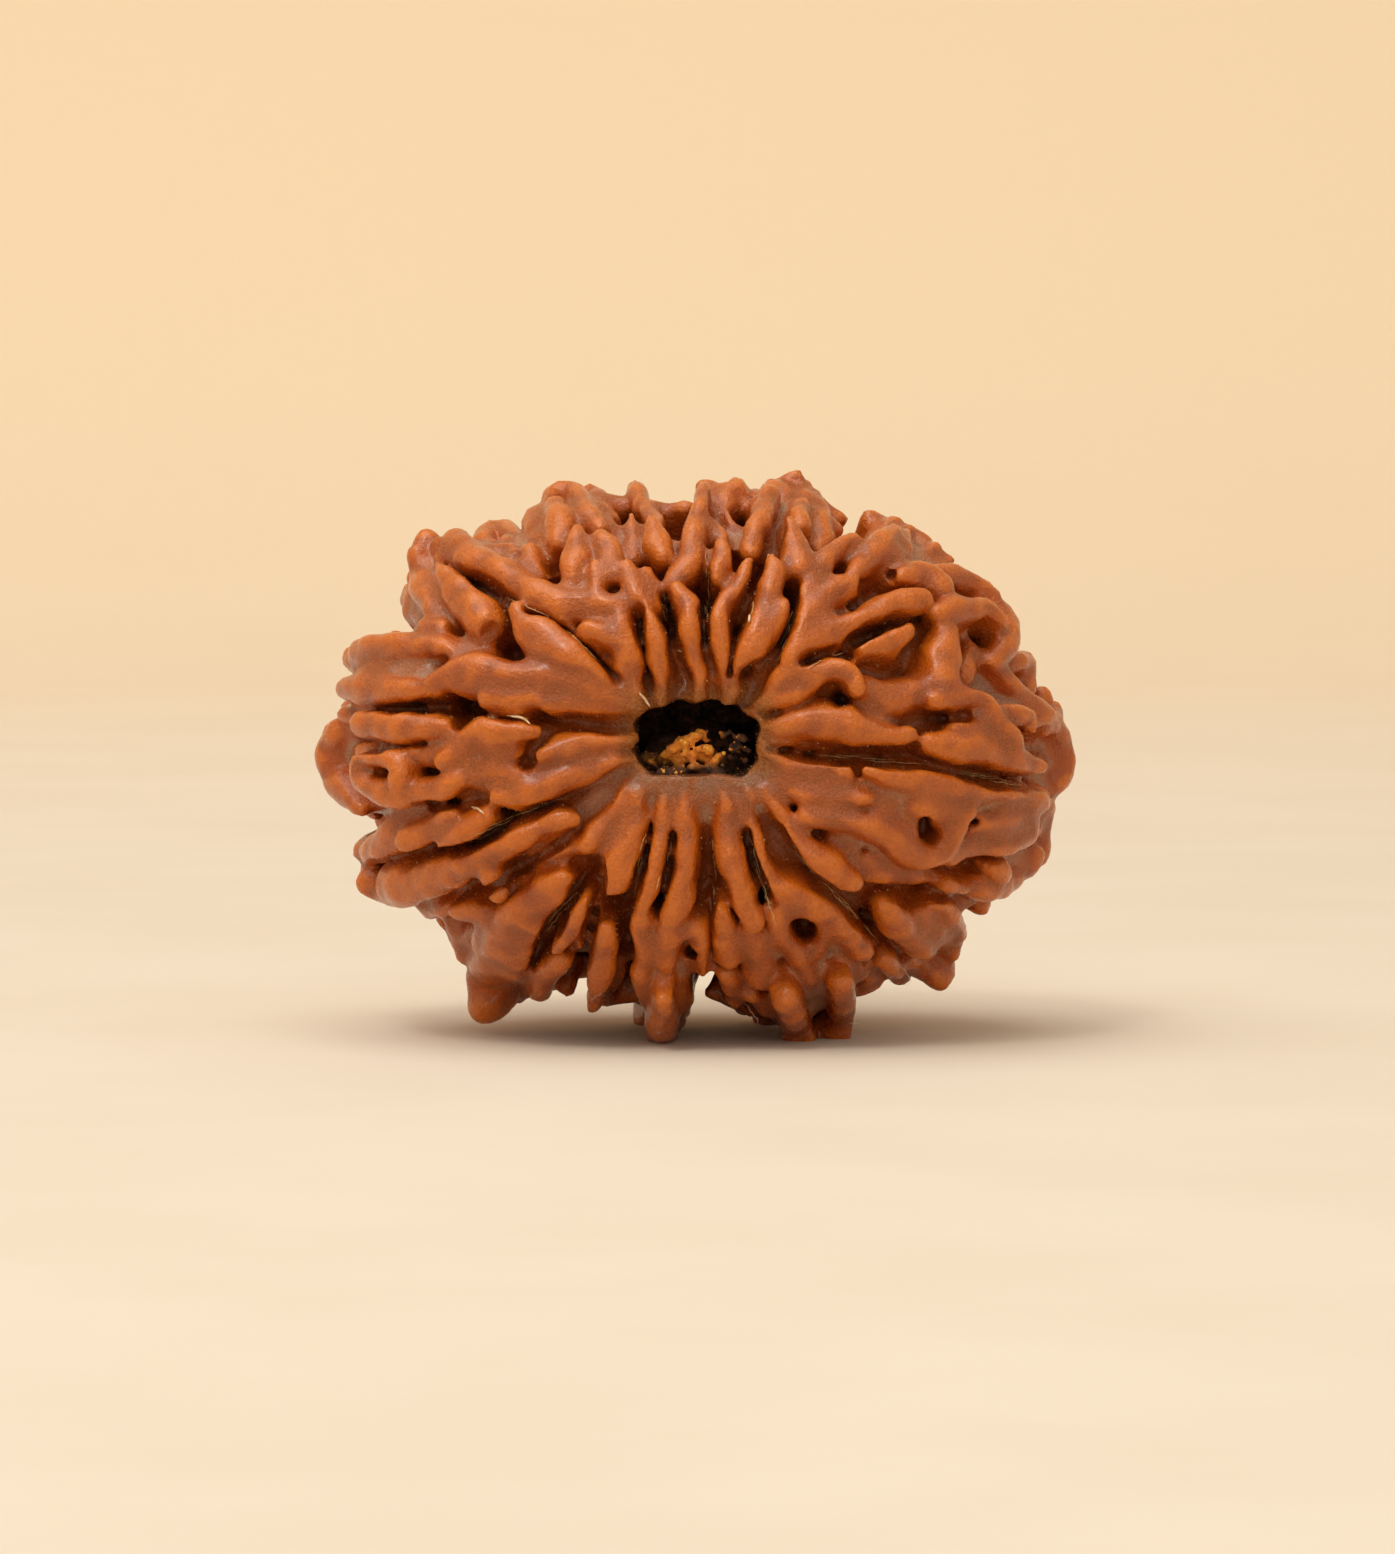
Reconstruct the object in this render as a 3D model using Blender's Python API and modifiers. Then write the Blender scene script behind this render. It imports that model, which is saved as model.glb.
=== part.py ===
# A many-faced rudraksha bead: the woody stone of one fruit, seen along its own channel.
# The stone stands on low tips of its ridges, as it does on a table, with the channel level.
# X is across the bead, Y runs along the channel with the photographed face towards -Y, Z is up.

import math
import random

import bmesh
import bpy
from mathutils import Vector, noise

MM = 0.001

# Driving dimensions in millimetres.
CREST_X = 16.3  # half width over the ridge crests
CREST_Z = 12.2  # half height over the ridge crests
BODY_X = 11.6  # half width of the valley floors
BODY_Y = 9.2  # half depth of the body, at the two mouths of the channel
BODY_Z = 8.2  # half height of the valley floors
CENTRE_Z = -1.0  # middle of the body, measured up from the channel's axis
AXIS_HEIGHT = 13.3  # the channel's axis over the table
MOUTH_Y = -9.2  # the front mouth, to which the ridge points below are measured
VIEW_TILT = math.radians(4.0)  # the ridge points are read by an eye that looks down by this much
EYE = 350.0  # and that is this far from the mouth
ROOT_DEPTH = 2.0  # how far each ridge's root runs into the body
PLUMP = 0.12  # what softening takes off a ridge's half width, given back beforehand
FLARE = 0.12  # how much wider than its crest a ridge's root is, on each side
LEAN = 0.3  # how far a ridge's end leans out over its root, as a share of its height
TIP = 0.2  # how far a ridge's end runs on past its last point and half width, which the softening takes back
SHOULDER = 0.5  # the rounding of a ridge's top, where the ridge is wider than that
DIP = 1.0  # how far the valley floors lie back from the mouth's collar
SHOULDER_ARC = (0.0, 0.52, 1.05, math.pi / 2)
VOXEL = 0.26
OPENING_VOXEL = 0.14
SOFTENING = 3
FINE_BUMPS = 0.0  # the share of small bumps in the skin, which the mesh here is too coarse to hold
BEAD_FACES = 11200
PITH_GAP = 0.30
SEED = 17

# The lobes, counter-clockwise from the lower right: the angle in degrees about the channel of the seam that
# each starts at, and how far its web fills the space between the valley floor (0) and the crests (1).
LOBES = (
    (-32, 0.48),
    (-7, 0.50),
    (14, 0.48),
    (33, 0.42),
    (52, 0.24),
    (70, 0.18),
    (87, 0.12),
    (106, 0.18),
    (127, 0.42),
    (142, 0.46),
    (157, 0.50),
    (173, 0.52),
    (203, 0.45),
    (231, 0.28),
    (246, 0.18),
    (257, 0.12),
    (275, 0.14),
    (293, 0.22),
    (311, 0.42),
)
BACK_WEB = 0.45  # the share of that fill on the hidden side

# The channel's mouth: points (x, z) round it.
CHANNEL = (
    (-2.65, -0.3),
    (-2.48, 0.2),
    (-2.6, 0.6),
    (-2.05, 1.3),
    (-1.4, 1.38),
    (-0.8, 1.62),
    (-0.2, 1.52),
    (0.4, 1.7),
    (1.0, 1.48),
    (1.6, 1.42),
    (2.1, 1.0),
    (2.6, 0.75),
    (2.45, 0.0),
    (2.5, -0.8),
    (1.9, -1.5),
    (0.6, -1.4),
    (-0.8, -1.5),
    (-2.0, -1.4),
    (-2.4, -0.95),
)

# The ridges of the photographed face, lobe by lobe. Each is (drop, shift, points): drop is how far its crest
# lies under the crest shell, shift moves it towards the back, and each point is (x, z, half width).
RIDGES = {
    "upper left": (
        (0.0, 0.0, ((-10.4, 8.7, 0.65), (-9.5, 8.1, 0.62), (-8.5, 7.5, 0.6), (-7.5, 6.8, 0.6),
                    (-6.6, 6.3, 0.62), (-5.8, 6.0, 0.68), (-4.9, 6.0, 0.72), (-4.1, 5.9, 0.6),
                    (-3.6, 5.8, 0.45))),
        (0.1, 0.0, ((-3.5, 5.9, 0.42), (-3.3, 5.1, 0.48), (-3.1, 4.2, 0.45), (-2.95, 3.2, 0.42),
                    (-2.8, 2.4, 0.38), (-2.65, 1.9, 0.28))),
        (0.0, 0.0, ((-4.6, 4.8, 0.25), (-4.2, 4.75, 0.38), (-3.6, 4.5, 0.4))),
        (0.2, 1.4, ((-11.3, 8.5, 0.35), (-10.9, 8.1, 0.4))),
        (0.1, 1.0, ((-12.1, 7.6, 0.42), (-11.9, 7.0, 0.54), (-11.5, 6.2, 0.5), (-11.2, 5.5, 0.42))),
        (0.0, 0.0, ((-10.8, 7.5, 0.4), (-10.4, 6.9, 0.68), (-9.9, 6.3, 0.8), (-9.4, 5.7, 0.8),
                    (-9.1, 5.2, 0.65))),
        (0.3, 0.4, ((-11.8, 5.1, 0.28), (-11.2, 5.0, 0.34))),
        (0.6, 0.0, ((-11.4, 4.6, 0.3), (-10.4, 4.3, 0.35), (-9.4, 3.9, 0.4))),
        (0.0, 0.0, ((-7.6, 5.5, 0.3), (-7.2, 5.0, 0.62), (-6.6, 4.5, 0.85), (-5.8, 4.0, 0.85),
                    (-5.0, 3.5, 0.75), (-4.3, 2.9, 0.6), (-3.7, 2.3, 0.48), (-3.3, 1.7, 0.36))),
        (0.0, 0.0, ((-11.0, 2.6, 0.45), (-10.3, 2.85, 0.75), (-9.4, 2.9, 0.75), (-8.4, 2.8, 0.62),
                    (-7.4, 2.7, 0.6), (-6.4, 2.7, 0.6), (-5.4, 2.6, 0.58), (-4.6, 2.3, 0.5),
                    (-3.9, 1.8, 0.36))),
        (0.1, 0.0, ((-8.8, 1.85, 0.3), (-8.0, 1.8, 0.4), (-7.2, 1.8, 0.38), (-6.8, 1.85, 0.25))),
        (0.1, 0.0, ((-6.2, 1.65, 0.3), (-5.6, 1.65, 0.36), (-4.9, 1.55, 0.36), (-4.2, 1.35, 0.3))),
        (0.0, 0.2, ((-14.7, 3.9, 0.6), (-13.8, 4.1, 0.5), (-12.4, 4.15, 0.42), (-11.2, 4.2, 0.38),
                    (-10.5, 3.9, 0.3))),
        (0.5, 0.2, ((-15.0, 3.4, 0.5), (-14.3, 3.5, 0.95), (-13.2, 3.2, 1.0), (-12.1, 3.0, 0.85))),
        (0.0, 0.2, ((-15.2, 2.3, 0.52), (-14.2, 2.4, 0.5), (-13.0, 2.2, 0.42), (-11.9, 2.15, 0.4),
                    (-11.1, 2.3, 0.35))),
        (0.1, 1.6, ((-9.2, 8.6, 0.32), (-8.6, 8.4, 0.36), (-8.0, 8.4, 0.3), (-7.8, 8.1, 0.3))),
    ),
    "left": (
        (0.0, 0.0, ((-14.4, 0.7, 0.5), (-13.6, 0.7, 0.7), (-12.5, 0.65, 0.72), (-11.5, 0.6, 0.62),
                    (-11.0, 0.6, 0.4))),
        (0.0, 2.4, ((-15.6, 0.4, 0.6), (-16.0, -0.6, 0.75), (-15.5, -2.0, 0.75), (-14.6, -2.9, 0.5))),
        (0.0, 0.0, ((-14.6, -0.95, 0.26), (-14.5, -1.55, 0.36), (-13.8, -2.05, 0.4), (-12.8, -2.3, 0.42),
                    (-11.8, -2.3, 0.42), (-10.9, -2.1, 0.4), (-10.3, -1.7, 0.3))),
        (0.0, 0.0, ((-14.5, -0.8, 0.26), (-13.8, -0.75, 0.28), (-13.0, -0.85, 0.32), (-12.65, -1.4, 0.4),
                    (-12.6, -2.0, 0.36))),
        (0.45, 0.0, ((-13.4, -0.4, 0.3), (-12.4, -0.45, 0.48), (-11.5, -0.5, 0.5))),
        (0.0, 0.0, ((-10.85, -0.8, 0.3), (-10.2, -0.3, 0.5), (-9.5, 0.2, 0.6), (-8.8, 0.42, 0.55),
                    (-8.0, 0.48, 0.45), (-7.3, 0.45, 0.36), (-6.9, 0.4, 0.22))),
        (0.0, 0.0, ((-6.4, -0.55, 0.3), (-5.8, -0.35, 0.52), (-5.1, -0.15, 0.46), (-4.4, 0.0, 0.34),
                    (-3.8, 0.05, 0.2))),
        (0.0, 0.0, ((-8.5, -2.4, 0.35), (-7.8, -2.4, 0.5), (-6.9, -2.1, 0.5), (-6.0, -1.7, 0.46),
                    (-5.0, -1.35, 0.4), (-4.1, -1.0, 0.34), (-3.4, -0.8, 0.28))),
        (0.3, 0.0, ((-10.2, -1.2, 0.5), (-9.4, -1.4, 0.75), (-8.6, -1.5, 0.75), (-7.9, -1.6, 0.5))),
        (0.5, 0.0, ((-9.0, -0.5, 0.5), (-8.2, -0.4, 0.45))),
        (0.5, 0.0, ((-6.9, -1.3, 0.3), (-5.8, -1.0, 0.3), (-4.8, -0.8, 0.28))),
        (0.1, 0.0, ((-12.5, -4.35, 0.35), (-11.8, -4.0, 0.46), (-11.1, -3.6, 0.46), (-10.7, -3.3, 0.3))),
        (0.0, 0.0, ((-10.8, -4.35, 0.26), (-10.2, -4.05, 0.45), (-9.6, -3.75, 0.48), (-9.15, -3.4, 0.35))),
        (0.4, 0.6, ((-14.4, -5.1, 0.3), (-13.9, -4.7, 0.6), (-13.2, -4.3, 0.72), (-12.4, -3.9, 0.7),
                    (-11.6, -3.5, 0.5))),
        (1.2, 0.0, ((-13.5, -3.1, 0.4), (-12.0, -3.0, 0.5), (-10.5, -2.9, 0.5), (-9.6, -2.6, 0.5))),
    ),
    "lower left": (
        (0.0, 0.0, ((-13.9, -6.6, 0.5), (-13.2, -6.65, 0.8), (-12.3, -6.4, 0.78), (-11.4, -6.1, 0.75),
                    (-10.5, -5.8, 0.68), (-9.7, -5.4, 0.54), (-9.0, -5.0, 0.52), (-8.2, -4.5, 0.52),
                    (-7.3, -4.0, 0.5), (-6.4, -3.65, 0.46), (-5.6, -3.45, 0.42), (-5.3, -3.4, 0.3))),
        (0.0, 0.0, ((-9.0, -5.4, 0.46), (-8.75, -6.0, 0.48), (-8.65, -6.35, 0.36))),
        (0.3, 0.0, ((-10.4, -7.5, 0.38), (-9.7, -7.6, 0.42), (-9.0, -7.8, 0.5))),
        (0.9, 0.9, ((-11.7, -7.7, 0.45), (-11.1, -8.4, 0.5))),
        (0.8, 0.6, ((-10.8, -8.8, 0.55), (-10.1, -9.4, 0.62))),
        (0.0, 0.0, ((-9.1, -11.2, 0.68), (-8.8, -10.3, 1.0), (-8.3, -9.4, 1.1), (-7.9, -8.5, 1.05),
                    (-7.3, -7.7, 0.86), (-6.7, -7.0, 0.72), (-6.1, -6.3, 0.62), (-5.75, -6.0, 0.4))),
        (0.5, 0.0, ((-9.2, -8.4, 0.6), (-9.3, -9.4, 0.68))),
        (0.1, 0.0, ((-7.0, -11.0, 0.44), (-6.7, -10.6, 0.52), (-6.3, -10.1, 0.48), (-5.95, -9.7, 0.36))),
        (0.5, 2.0, ((-7.3, -10.2, 0.4), (-7.7, -11.1, 0.42))),
        (0.0, 0.0, ((-4.75, -7.0, 0.24), (-5.0, -7.4, 0.38), (-5.4, -8.1, 0.42), (-5.8, -8.7, 0.38),
                    (-5.95, -8.9, 0.24))),
        (0.0, 0.0, ((-3.9, -8.3, 0.36), (-3.95, -8.9, 0.45), (-4.1, -9.7, 0.42), (-4.3, -10.5, 0.36),
                    (-4.45, -11.2, 0.24), (-4.5, -11.5, 0.12))),
        (0.8, 0.0, ((-4.8, -8.2, 0.5), (-5.1, -9.2, 0.5))),
        (0.5, 1.8, ((-3.4, -10.0, 0.42), (-3.75, -10.8, 0.38))),
        (0.0, 0.0, ((-2.6, -2.5, 0.28), (-2.65, -3.2, 0.42), (-2.9, -4.0, 0.56), (-3.15, -4.8, 0.7),
                    (-3.4, -5.5, 0.8), (-3.55, -6.0, 0.62))),
        (0.1, 0.0, ((-3.25, -2.3, 0.22), (-3.5, -2.9, 0.34), (-3.9, -3.6, 0.42), (-4.4, -4.2, 0.44),
                    (-4.6, -4.4, 0.3))),
        (0.6, 0.0, ((-6.0, -4.9, 0.4), (-5.2, -4.8, 0.4))),
        (0.9, 0.0, ((-7.9, -6.8, 0.5), (-6.9, -5.7, 0.6))),
    ),
    "bottom": (
        (0.1, 0.0, ((-1.5, -2.7, 0.22), (-1.5, -3.4, 0.28), (-1.6, -4.3, 0.3), (-1.85, -5.3, 0.34),
                    (-2.1, -6.2, 0.36), (-2.3, -6.9, 0.3))),
        (0.1, 0.0, ((-2.4, -7.7, 0.36), (-2.4, -8.3, 0.45), (-2.25, -9.2, 0.38), (-2.3, -10.2, 0.36),
                    (-2.35, -10.9, 0.24), (-2.35, -11.3, 0.12))),
        (0.0, 0.0, ((-0.5, -3.1, 0.28), (-0.5, -3.8, 0.4), (-0.5, -4.8, 0.48), (-0.6, -5.8, 0.56),
                    (-0.75, -6.8, 0.62), (-0.95, -7.4, 0.5))),
        (0.0, 0.0, ((-1.2, -8.3, 0.38), (-1.3, -9.0, 0.42), (-1.3, -9.5, 0.36))),
        (0.0, 0.0, ((-1.4, -10.3, 0.36), (-1.3, -11.0, 0.42), (-1.4, -11.8, 0.38))),
        (0.3, 0.0, ((-0.9, -8.3, 0.4), (-0.2, -8.2, 0.35), (0.2, -8.7, 0.3), (0.25, -9.5, 0.3),
                    (0.25, -10.2, 0.26))),
        (0.8, 0.0, ((-0.5, -9.8, 0.5), (-0.3, -10.3, 0.4))),
        (-0.2, -2.0, ((-1.4, -11.2, 0.36), (-1.5, -12.1, 0.42), (-1.55, -13.3, 0.45))),
        (0.3, 0.4, ((-0.8, -10.6, 0.4), (-0.8, -11.6, 0.4), (-0.8, -12.5, 0.3))),
        (0.0, 0.0, ((1.3, -2.5, 0.26), (1.25, -3.4, 0.34), (1.35, -4.4, 0.4), (1.5, -5.4, 0.46),
                    (1.75, -6.3, 0.48), (2.1, -7.1, 0.44), (2.35, -7.7, 0.26))),
        (0.2, 0.0, ((0.95, -7.5, 0.22), (1.1, -8.0, 0.4), (1.3, -8.8, 0.46), (1.4, -9.5, 0.4))),
        (0.3, 0.0, ((1.3, -10.4, 0.3), (1.5, -11.0, 0.4), (1.6, -11.5, 0.25))),
        (0.1, 0.0, ((2.35, -8.4, 0.36), (2.6, -9.0, 0.48), (2.75, -9.8, 0.6), (2.75, -10.4, 0.56))),
        (0.1, 0.0, ((2.45, -11.1, 0.34), (3.0, -11.4, 0.5), (3.6, -11.9, 0.5), (4.0, -12.3, 0.36))),
        (-0.2, -2.0, ((3.8, -11.2, 0.4), (4.2, -12.1, 0.45), (4.4, -13.3, 0.5))),
        (0.0, 0.0, ((2.2, -2.3, 0.22), (2.2, -3.0, 0.28), (2.4, -4.0, 0.34), (2.6, -5.0, 0.4),
                    (2.9, -5.8, 0.44), (3.5, -6.4, 0.5), (4.3, -6.85, 0.56), (5.1, -7.3, 0.58),
                    (5.9, -7.9, 0.64), (6.6, -8.6, 0.64), (7.1, -9.2, 0.46))),
    ),
    "lower right": (
        (0.0, 0.0, ((2.85, -1.9, 0.22), (3.15, -2.5, 0.28), (3.6, -3.3, 0.34), (4.05, -4.1, 0.42),
                    (4.7, -4.8, 0.56), (5.4, -5.4, 0.68), (6.0, -5.8, 0.66), (6.5, -6.1, 0.4))),
        (0.1, 0.0, ((3.4, -7.4, 0.26), (3.5, -8.0, 0.34), (3.8, -8.8, 0.38), (4.4, -9.4, 0.48),
                    (4.8, -10.2, 0.64), (4.9, -11.0, 0.64), (4.9, -11.5, 0.42))),
        (0.2, 0.0, ((4.2, -7.4, 0.28), (4.9, -7.5, 0.3), (5.35, -8.0, 0.28), (5.4, -8.8, 0.3),
                    (5.1, -9.4, 0.34))),
        (0.8, 0.4, ((5.9, -9.4, 0.45), (5.9, -10.6, 0.5))),
        (0.3, 0.0, ((6.3, -9.2, 0.26), (6.7, -9.8, 0.34), (7.1, -10.3, 0.26))),
        (-0.2, -1.2, ((6.1, -10.4, 0.45), (6.2, -11.8, 0.5), (6.2, -13.2, 0.55))),
        (0.2, 0.0, ((8.1, -9.8, 0.36), (8.6, -10.15, 0.38))),
        (0.3, 0.4, ((9.3, -9.8, 0.42), (9.9, -10.3, 0.54), (10.1, -10.5, 0.46))),
        (0.0, 0.0, ((8.2, -7.3, 0.42), (8.5, -7.9, 0.6), (9.1, -8.6, 0.64), (9.8, -9.2, 0.5))),
        (0.3, 0.2, ((9.7, -7.9, 0.5), (10.3, -8.5, 0.65), (10.7, -9.1, 0.5))),
        (0.2, 0.5, ((10.4, -7.2, 0.32), (10.9, -7.7, 0.36), (11.3, -8.4, 0.34), (11.2, -9.1, 0.3))),
        (0.9, 0.0, ((6.4, -4.8, 0.7), (7.6, -5.5, 0.9), (8.8, -6.0, 0.9), (9.9, -6.2, 0.7))),
        (0.0, 0.0, ((4.7, -3.3, 0.4), (5.6, -3.35, 0.5), (6.6, -3.5, 0.46), (7.5, -3.8, 0.42),
                    (8.2, -4.2, 0.42), (8.8, -4.7, 0.46), (9.6, -5.0, 0.48), (10.4, -4.85, 0.46),
                    (10.8, -4.3, 0.42), (11.1, -3.6, 0.4), (11.4, -3.1, 0.36))),
        (0.15, 0.3, ((11.0, -4.9, 0.45), (12.2, -4.6, 0.6), (13.4, -4.4, 0.7), (14.3, -4.2, 0.6))),
        (0.3, 0.0, ((12.8, -5.4, 0.28), (13.2, -5.9, 0.28))),
        (0.2, 0.6, ((14.5, -5.4, 0.5), (13.4, -6.3, 0.5), (12.0, -6.4, 0.4))),
        (0.3, 0.2, ((10.9, -6.4, 0.3), (11.5, -6.55, 0.28))),
        (1.3, 0.8, ((11.6, -5.6, 0.6), (13.2, -5.6, 0.8))),
    ),
    "right": (
        (0.0, 0.0, ((3.2, 0.6, 0.3), (3.9, 0.65, 0.46), (4.8, 0.8, 0.66), (5.8, 0.8, 0.74),
                    (6.8, 0.62, 0.68), (7.6, 0.38, 0.48), (8.4, 0.25, 0.36), (9.0, 0.25, 0.3))),
        (0.0, 0.0, ((10.1, -0.1, 0.4), (10.8, -0.2, 0.6), (11.8, -0.3, 0.7), (12.7, -0.55, 0.62),
                    (13.5, -0.8, 0.52), (14.2, -1.0, 0.42), (14.6, -1.1, 0.26))),
        (0.0, 0.0, ((7.3, -1.3, 0.25), (8.0, -1.5, 0.42), (9.0, -1.75, 0.6), (10.0, -2.05, 0.68),
                    (11.0, -2.3, 0.68), (12.0, -2.25, 0.5), (13.0, -2.2, 0.42), (14.2, -2.4, 0.42),
                    (14.8, -2.7, 0.36))),
        (0.1, 0.0, ((9.5, -2.8, 0.5), (10.5, -3.0, 0.65), (11.1, -3.0, 0.5))),
        (0.1, 0.0, ((2.95, -0.4, 0.4), (3.6, -0.8, 0.66), (4.4, -1.3, 0.8), (5.2, -1.65, 0.78),
                    (5.9, -1.8, 0.6))),
        (0.0, 0.0, ((3.9, -2.0, 0.26), (4.6, -2.3, 0.36), (5.5, -2.4, 0.36), (6.4, -2.4, 0.32),
                    (6.95, -2.45, 0.2))),
        (0.0, 0.0, ((4.6, -0.95, 0.26), (5.6, -1.05, 0.26), (6.15, -1.25, 0.22))),
        (0.5, 0.0, ((7.3, -2.3, 0.45), (8.4, -2.7, 0.5), (9.2, -3.1, 0.4))),
        (0.3, 0.0, ((7.9, -3.4, 0.38), (9.0, -3.9, 0.34))),
        (0.4, 0.0, ((12.5, -3.6, 0.5), (13.4, -3.5, 0.85), (14.1, -3.4, 0.7))),
        (0.1, 0.2, ((14.2, -2.7, 0.4), (14.35, -3.4, 0.42), (14.3, -4.1, 0.4))),
        (0.0, 2.4, ((15.5, 0.7, 0.6), (15.8, -0.5, 0.6), (15.6, -1.7, 0.6))),
        (0.0, 2.2, ((15.2, -3.0, 0.6), (15.0, -4.6, 0.6))),
    ),
    "upper right": (
        (0.0, 0.0, ((9.5, 6.1, 0.32), (8.9, 6.0, 0.52), (8.0, 5.6, 0.56), (7.0, 5.1, 0.58),
                    (6.0, 4.75, 0.62), (5.1, 4.55, 0.6), (4.5, 4.1, 0.44), (4.0, 3.5, 0.28))),
        (0.0, 0.0, ((6.5, 6.8, 0.32), (5.9, 6.6, 0.58), (5.2, 6.1, 0.6), (4.8, 5.5, 0.48),
                    (4.4, 4.9, 0.36))),
        (0.5, 0.0, ((6.7, 6.2, 0.3), (8.0, 6.3, 0.3))),
        (0.0, 0.0, ((8.4, 9.1, 0.32), (8.0, 8.7, 0.5), (7.5, 8.1, 0.6), (7.0, 7.5, 0.48),
                    (6.6, 7.1, 0.26))),
        (0.1, 0.5, ((8.5, 9.2, 0.26), (8.55, 8.6, 0.28), (8.4, 7.9, 0.24))),
        (0.1, 0.9, ((8.95, 9.1, 0.24), (9.0, 8.5, 0.26), (8.9, 7.9, 0.24))),
        (0.1, 0.0, ((8.9, 7.2, 0.46), (9.6, 7.3, 0.6), (10.2, 6.9, 0.54))),
        (0.1, 0.6, ((10.4, 7.4, 0.4), (11.2, 7.3, 0.52), (11.9, 7.0, 0.46), (12.5, 6.5, 0.32))),
        (0.0, 0.0, ((10.4, 5.5, 0.26), (11.0, 5.7, 0.46), (11.8, 5.75, 0.46), (12.4, 5.7, 0.44),
                    (12.9, 5.3, 0.34))),
        (0.2, 1.0, ((12.6, 6.2, 0.5), (13.3, 5.3, 0.55), (13.3, 4.4, 0.5), (12.9, 3.7, 0.45))),
        (0.0, 0.0, ((7.2, 4.0, 0.36), (7.9, 4.25, 0.6), (8.6, 4.5, 0.6), (8.9, 4.65, 0.4))),
        (0.1, 0.0, ((10.7, 4.6, 0.62), (10.65, 4.1, 0.95), (10.5, 3.4, 0.8), (10.5, 2.8, 0.85))),
        (0.0, 0.0, ((4.8, 2.6, 0.3), (5.3, 3.0, 0.36), (6.0, 3.1, 0.34), (6.6, 2.8, 0.32),
                    (6.8, 2.3, 0.28))),
        (0.0, 0.0, ((3.5, 2.75, 0.26), (4.0, 2.9, 0.34), (4.6, 3.15, 0.24))),
        (0.1, 0.0, ((3.5, 1.85, 0.24), (4.2, 2.1, 0.28), (4.8, 2.4, 0.22))),
        (0.4, 0.0, ((10.2, 2.5, 0.5), (9.2, 2.1, 0.72), (8.2, 1.9, 0.8), (7.5, 2.2, 0.6))),
        (0.0, 0.0, ((10.2, 1.75, 0.3), (11.0, 1.9, 0.36), (11.8, 1.9, 0.4), (12.35, 1.7, 0.4),
                    (12.6, 1.1, 0.4), (13.0, 0.5, 0.42), (13.5, -0.1, 0.4))),
        (0.3, 0.0, ((11.4, 0.6, 0.5), (12.3, 0.3, 0.6))),
        (0.1, 0.3, ((13.2, 1.3, 0.3), (13.8, 1.2, 0.42), (14.35, 1.15, 0.38), (14.3, 0.7, 0.26))),
        (0.0, 2.0, ((12.9, 3.0, 0.45), (13.7, 2.2, 0.5), (14.8, 1.4, 0.5), (15.4, 0.7, 0.5))),
        (0.9, 0.8, ((12.2, 4.4, 0.5), (12.1, 3.4, 0.45))),
    ),
    "top": (
        (0.0, 0.6, ((0.3, 10.9, 0.26), (0.15, 10.2, 0.34), (-0.1, 9.4, 0.4), (-0.15, 8.4, 0.44),
                    (-0.25, 7.7, 0.42), (-0.7, 7.1, 0.4), (-1.0, 6.7, 0.3))),
        (0.0, 0.0, ((-0.85, 6.4, 0.32), (-0.5, 5.9, 0.4), (-0.4, 5.2, 0.38), (-0.3, 4.3, 0.34),
                    (-0.1, 3.4, 0.3), (0.1, 2.7, 0.26))),
        (0.0, 0.0, ((2.2, 7.5, 0.18), (2.05, 7.1, 0.3), (1.7, 6.5, 0.36), (1.25, 6.1, 0.36),
                    (1.0, 5.5, 0.32), (0.95, 4.6, 0.3), (1.1, 3.8, 0.3), (1.2, 3.1, 0.26))),
        (0.0, 0.0, ((3.25, 7.8, 0.18), (3.3, 7.3, 0.36), (3.1, 6.6, 0.42), (2.8, 5.9, 0.42),
                    (2.6, 5.2, 0.4), (2.4, 4.6, 0.38), (1.9, 3.7, 0.34), (1.5, 3.1, 0.28))),
        (0.0, 0.0, ((4.1, 6.0, 0.15), (3.8, 5.8, 0.3), (3.3, 5.3, 0.4), (2.9, 4.7, 0.38),
                    (2.5, 4.1, 0.34))),
        (0.1, 0.0, ((1.0, 8.4, 0.2), (1.05, 8.1, 0.34), (1.0, 7.6, 0.36), (0.88, 7.2, 0.24))),
        (0.1, 1.2, ((0.8, 9.4, 0.18), (0.95, 9.0, 0.28), (1.1, 8.6, 0.26))),
        (0.1, 2.2, ((1.2, 10.0, 0.15), (1.35, 9.5, 0.28), (1.6, 9.1, 0.38), (1.7, 8.6, 0.4))),
        (0.0, 0.4, ((3.1, 10.7, 0.36), (2.85, 10.2, 0.46), (2.7, 9.5, 0.46), (2.4, 9.0, 0.4),
                    (2.3, 8.4, 0.36), (2.25, 8.1, 0.26))),
        (0.1, 1.6, ((4.0, 11.5, 0.28), (3.7, 11.4, 0.32), (3.2, 11.0, 0.28))),
        (0.1, 2.0, ((4.5, 11.1, 0.28), (4.55, 10.5, 0.34))),
        (0.1, 1.2, ((4.4, 10.3, 0.34), (4.3, 9.8, 0.4), (4.4, 9.3, 0.34))),
        (0.1, 2.4, ((5.1, 10.6, 0.28), (5.25, 10.1, 0.38), (5.2, 9.5, 0.38), (5.4, 8.8, 0.36),
                    (5.2, 8.4, 0.36))),
        (0.0, 0.0, ((3.9, 9.3, 0.22), (4.0, 8.95, 0.46), (4.15, 8.5, 0.6), (4.25, 8.0, 0.62),
                    (4.3, 7.7, 0.45))),
        (0.1, 0.0, ((6.6, 8.7, 0.28), (6.1, 8.45, 0.34), (5.6, 8.0, 0.38), (5.2, 7.5, 0.38),
                    (4.9, 7.0, 0.34), (4.7, 6.6, 0.24))),
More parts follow.
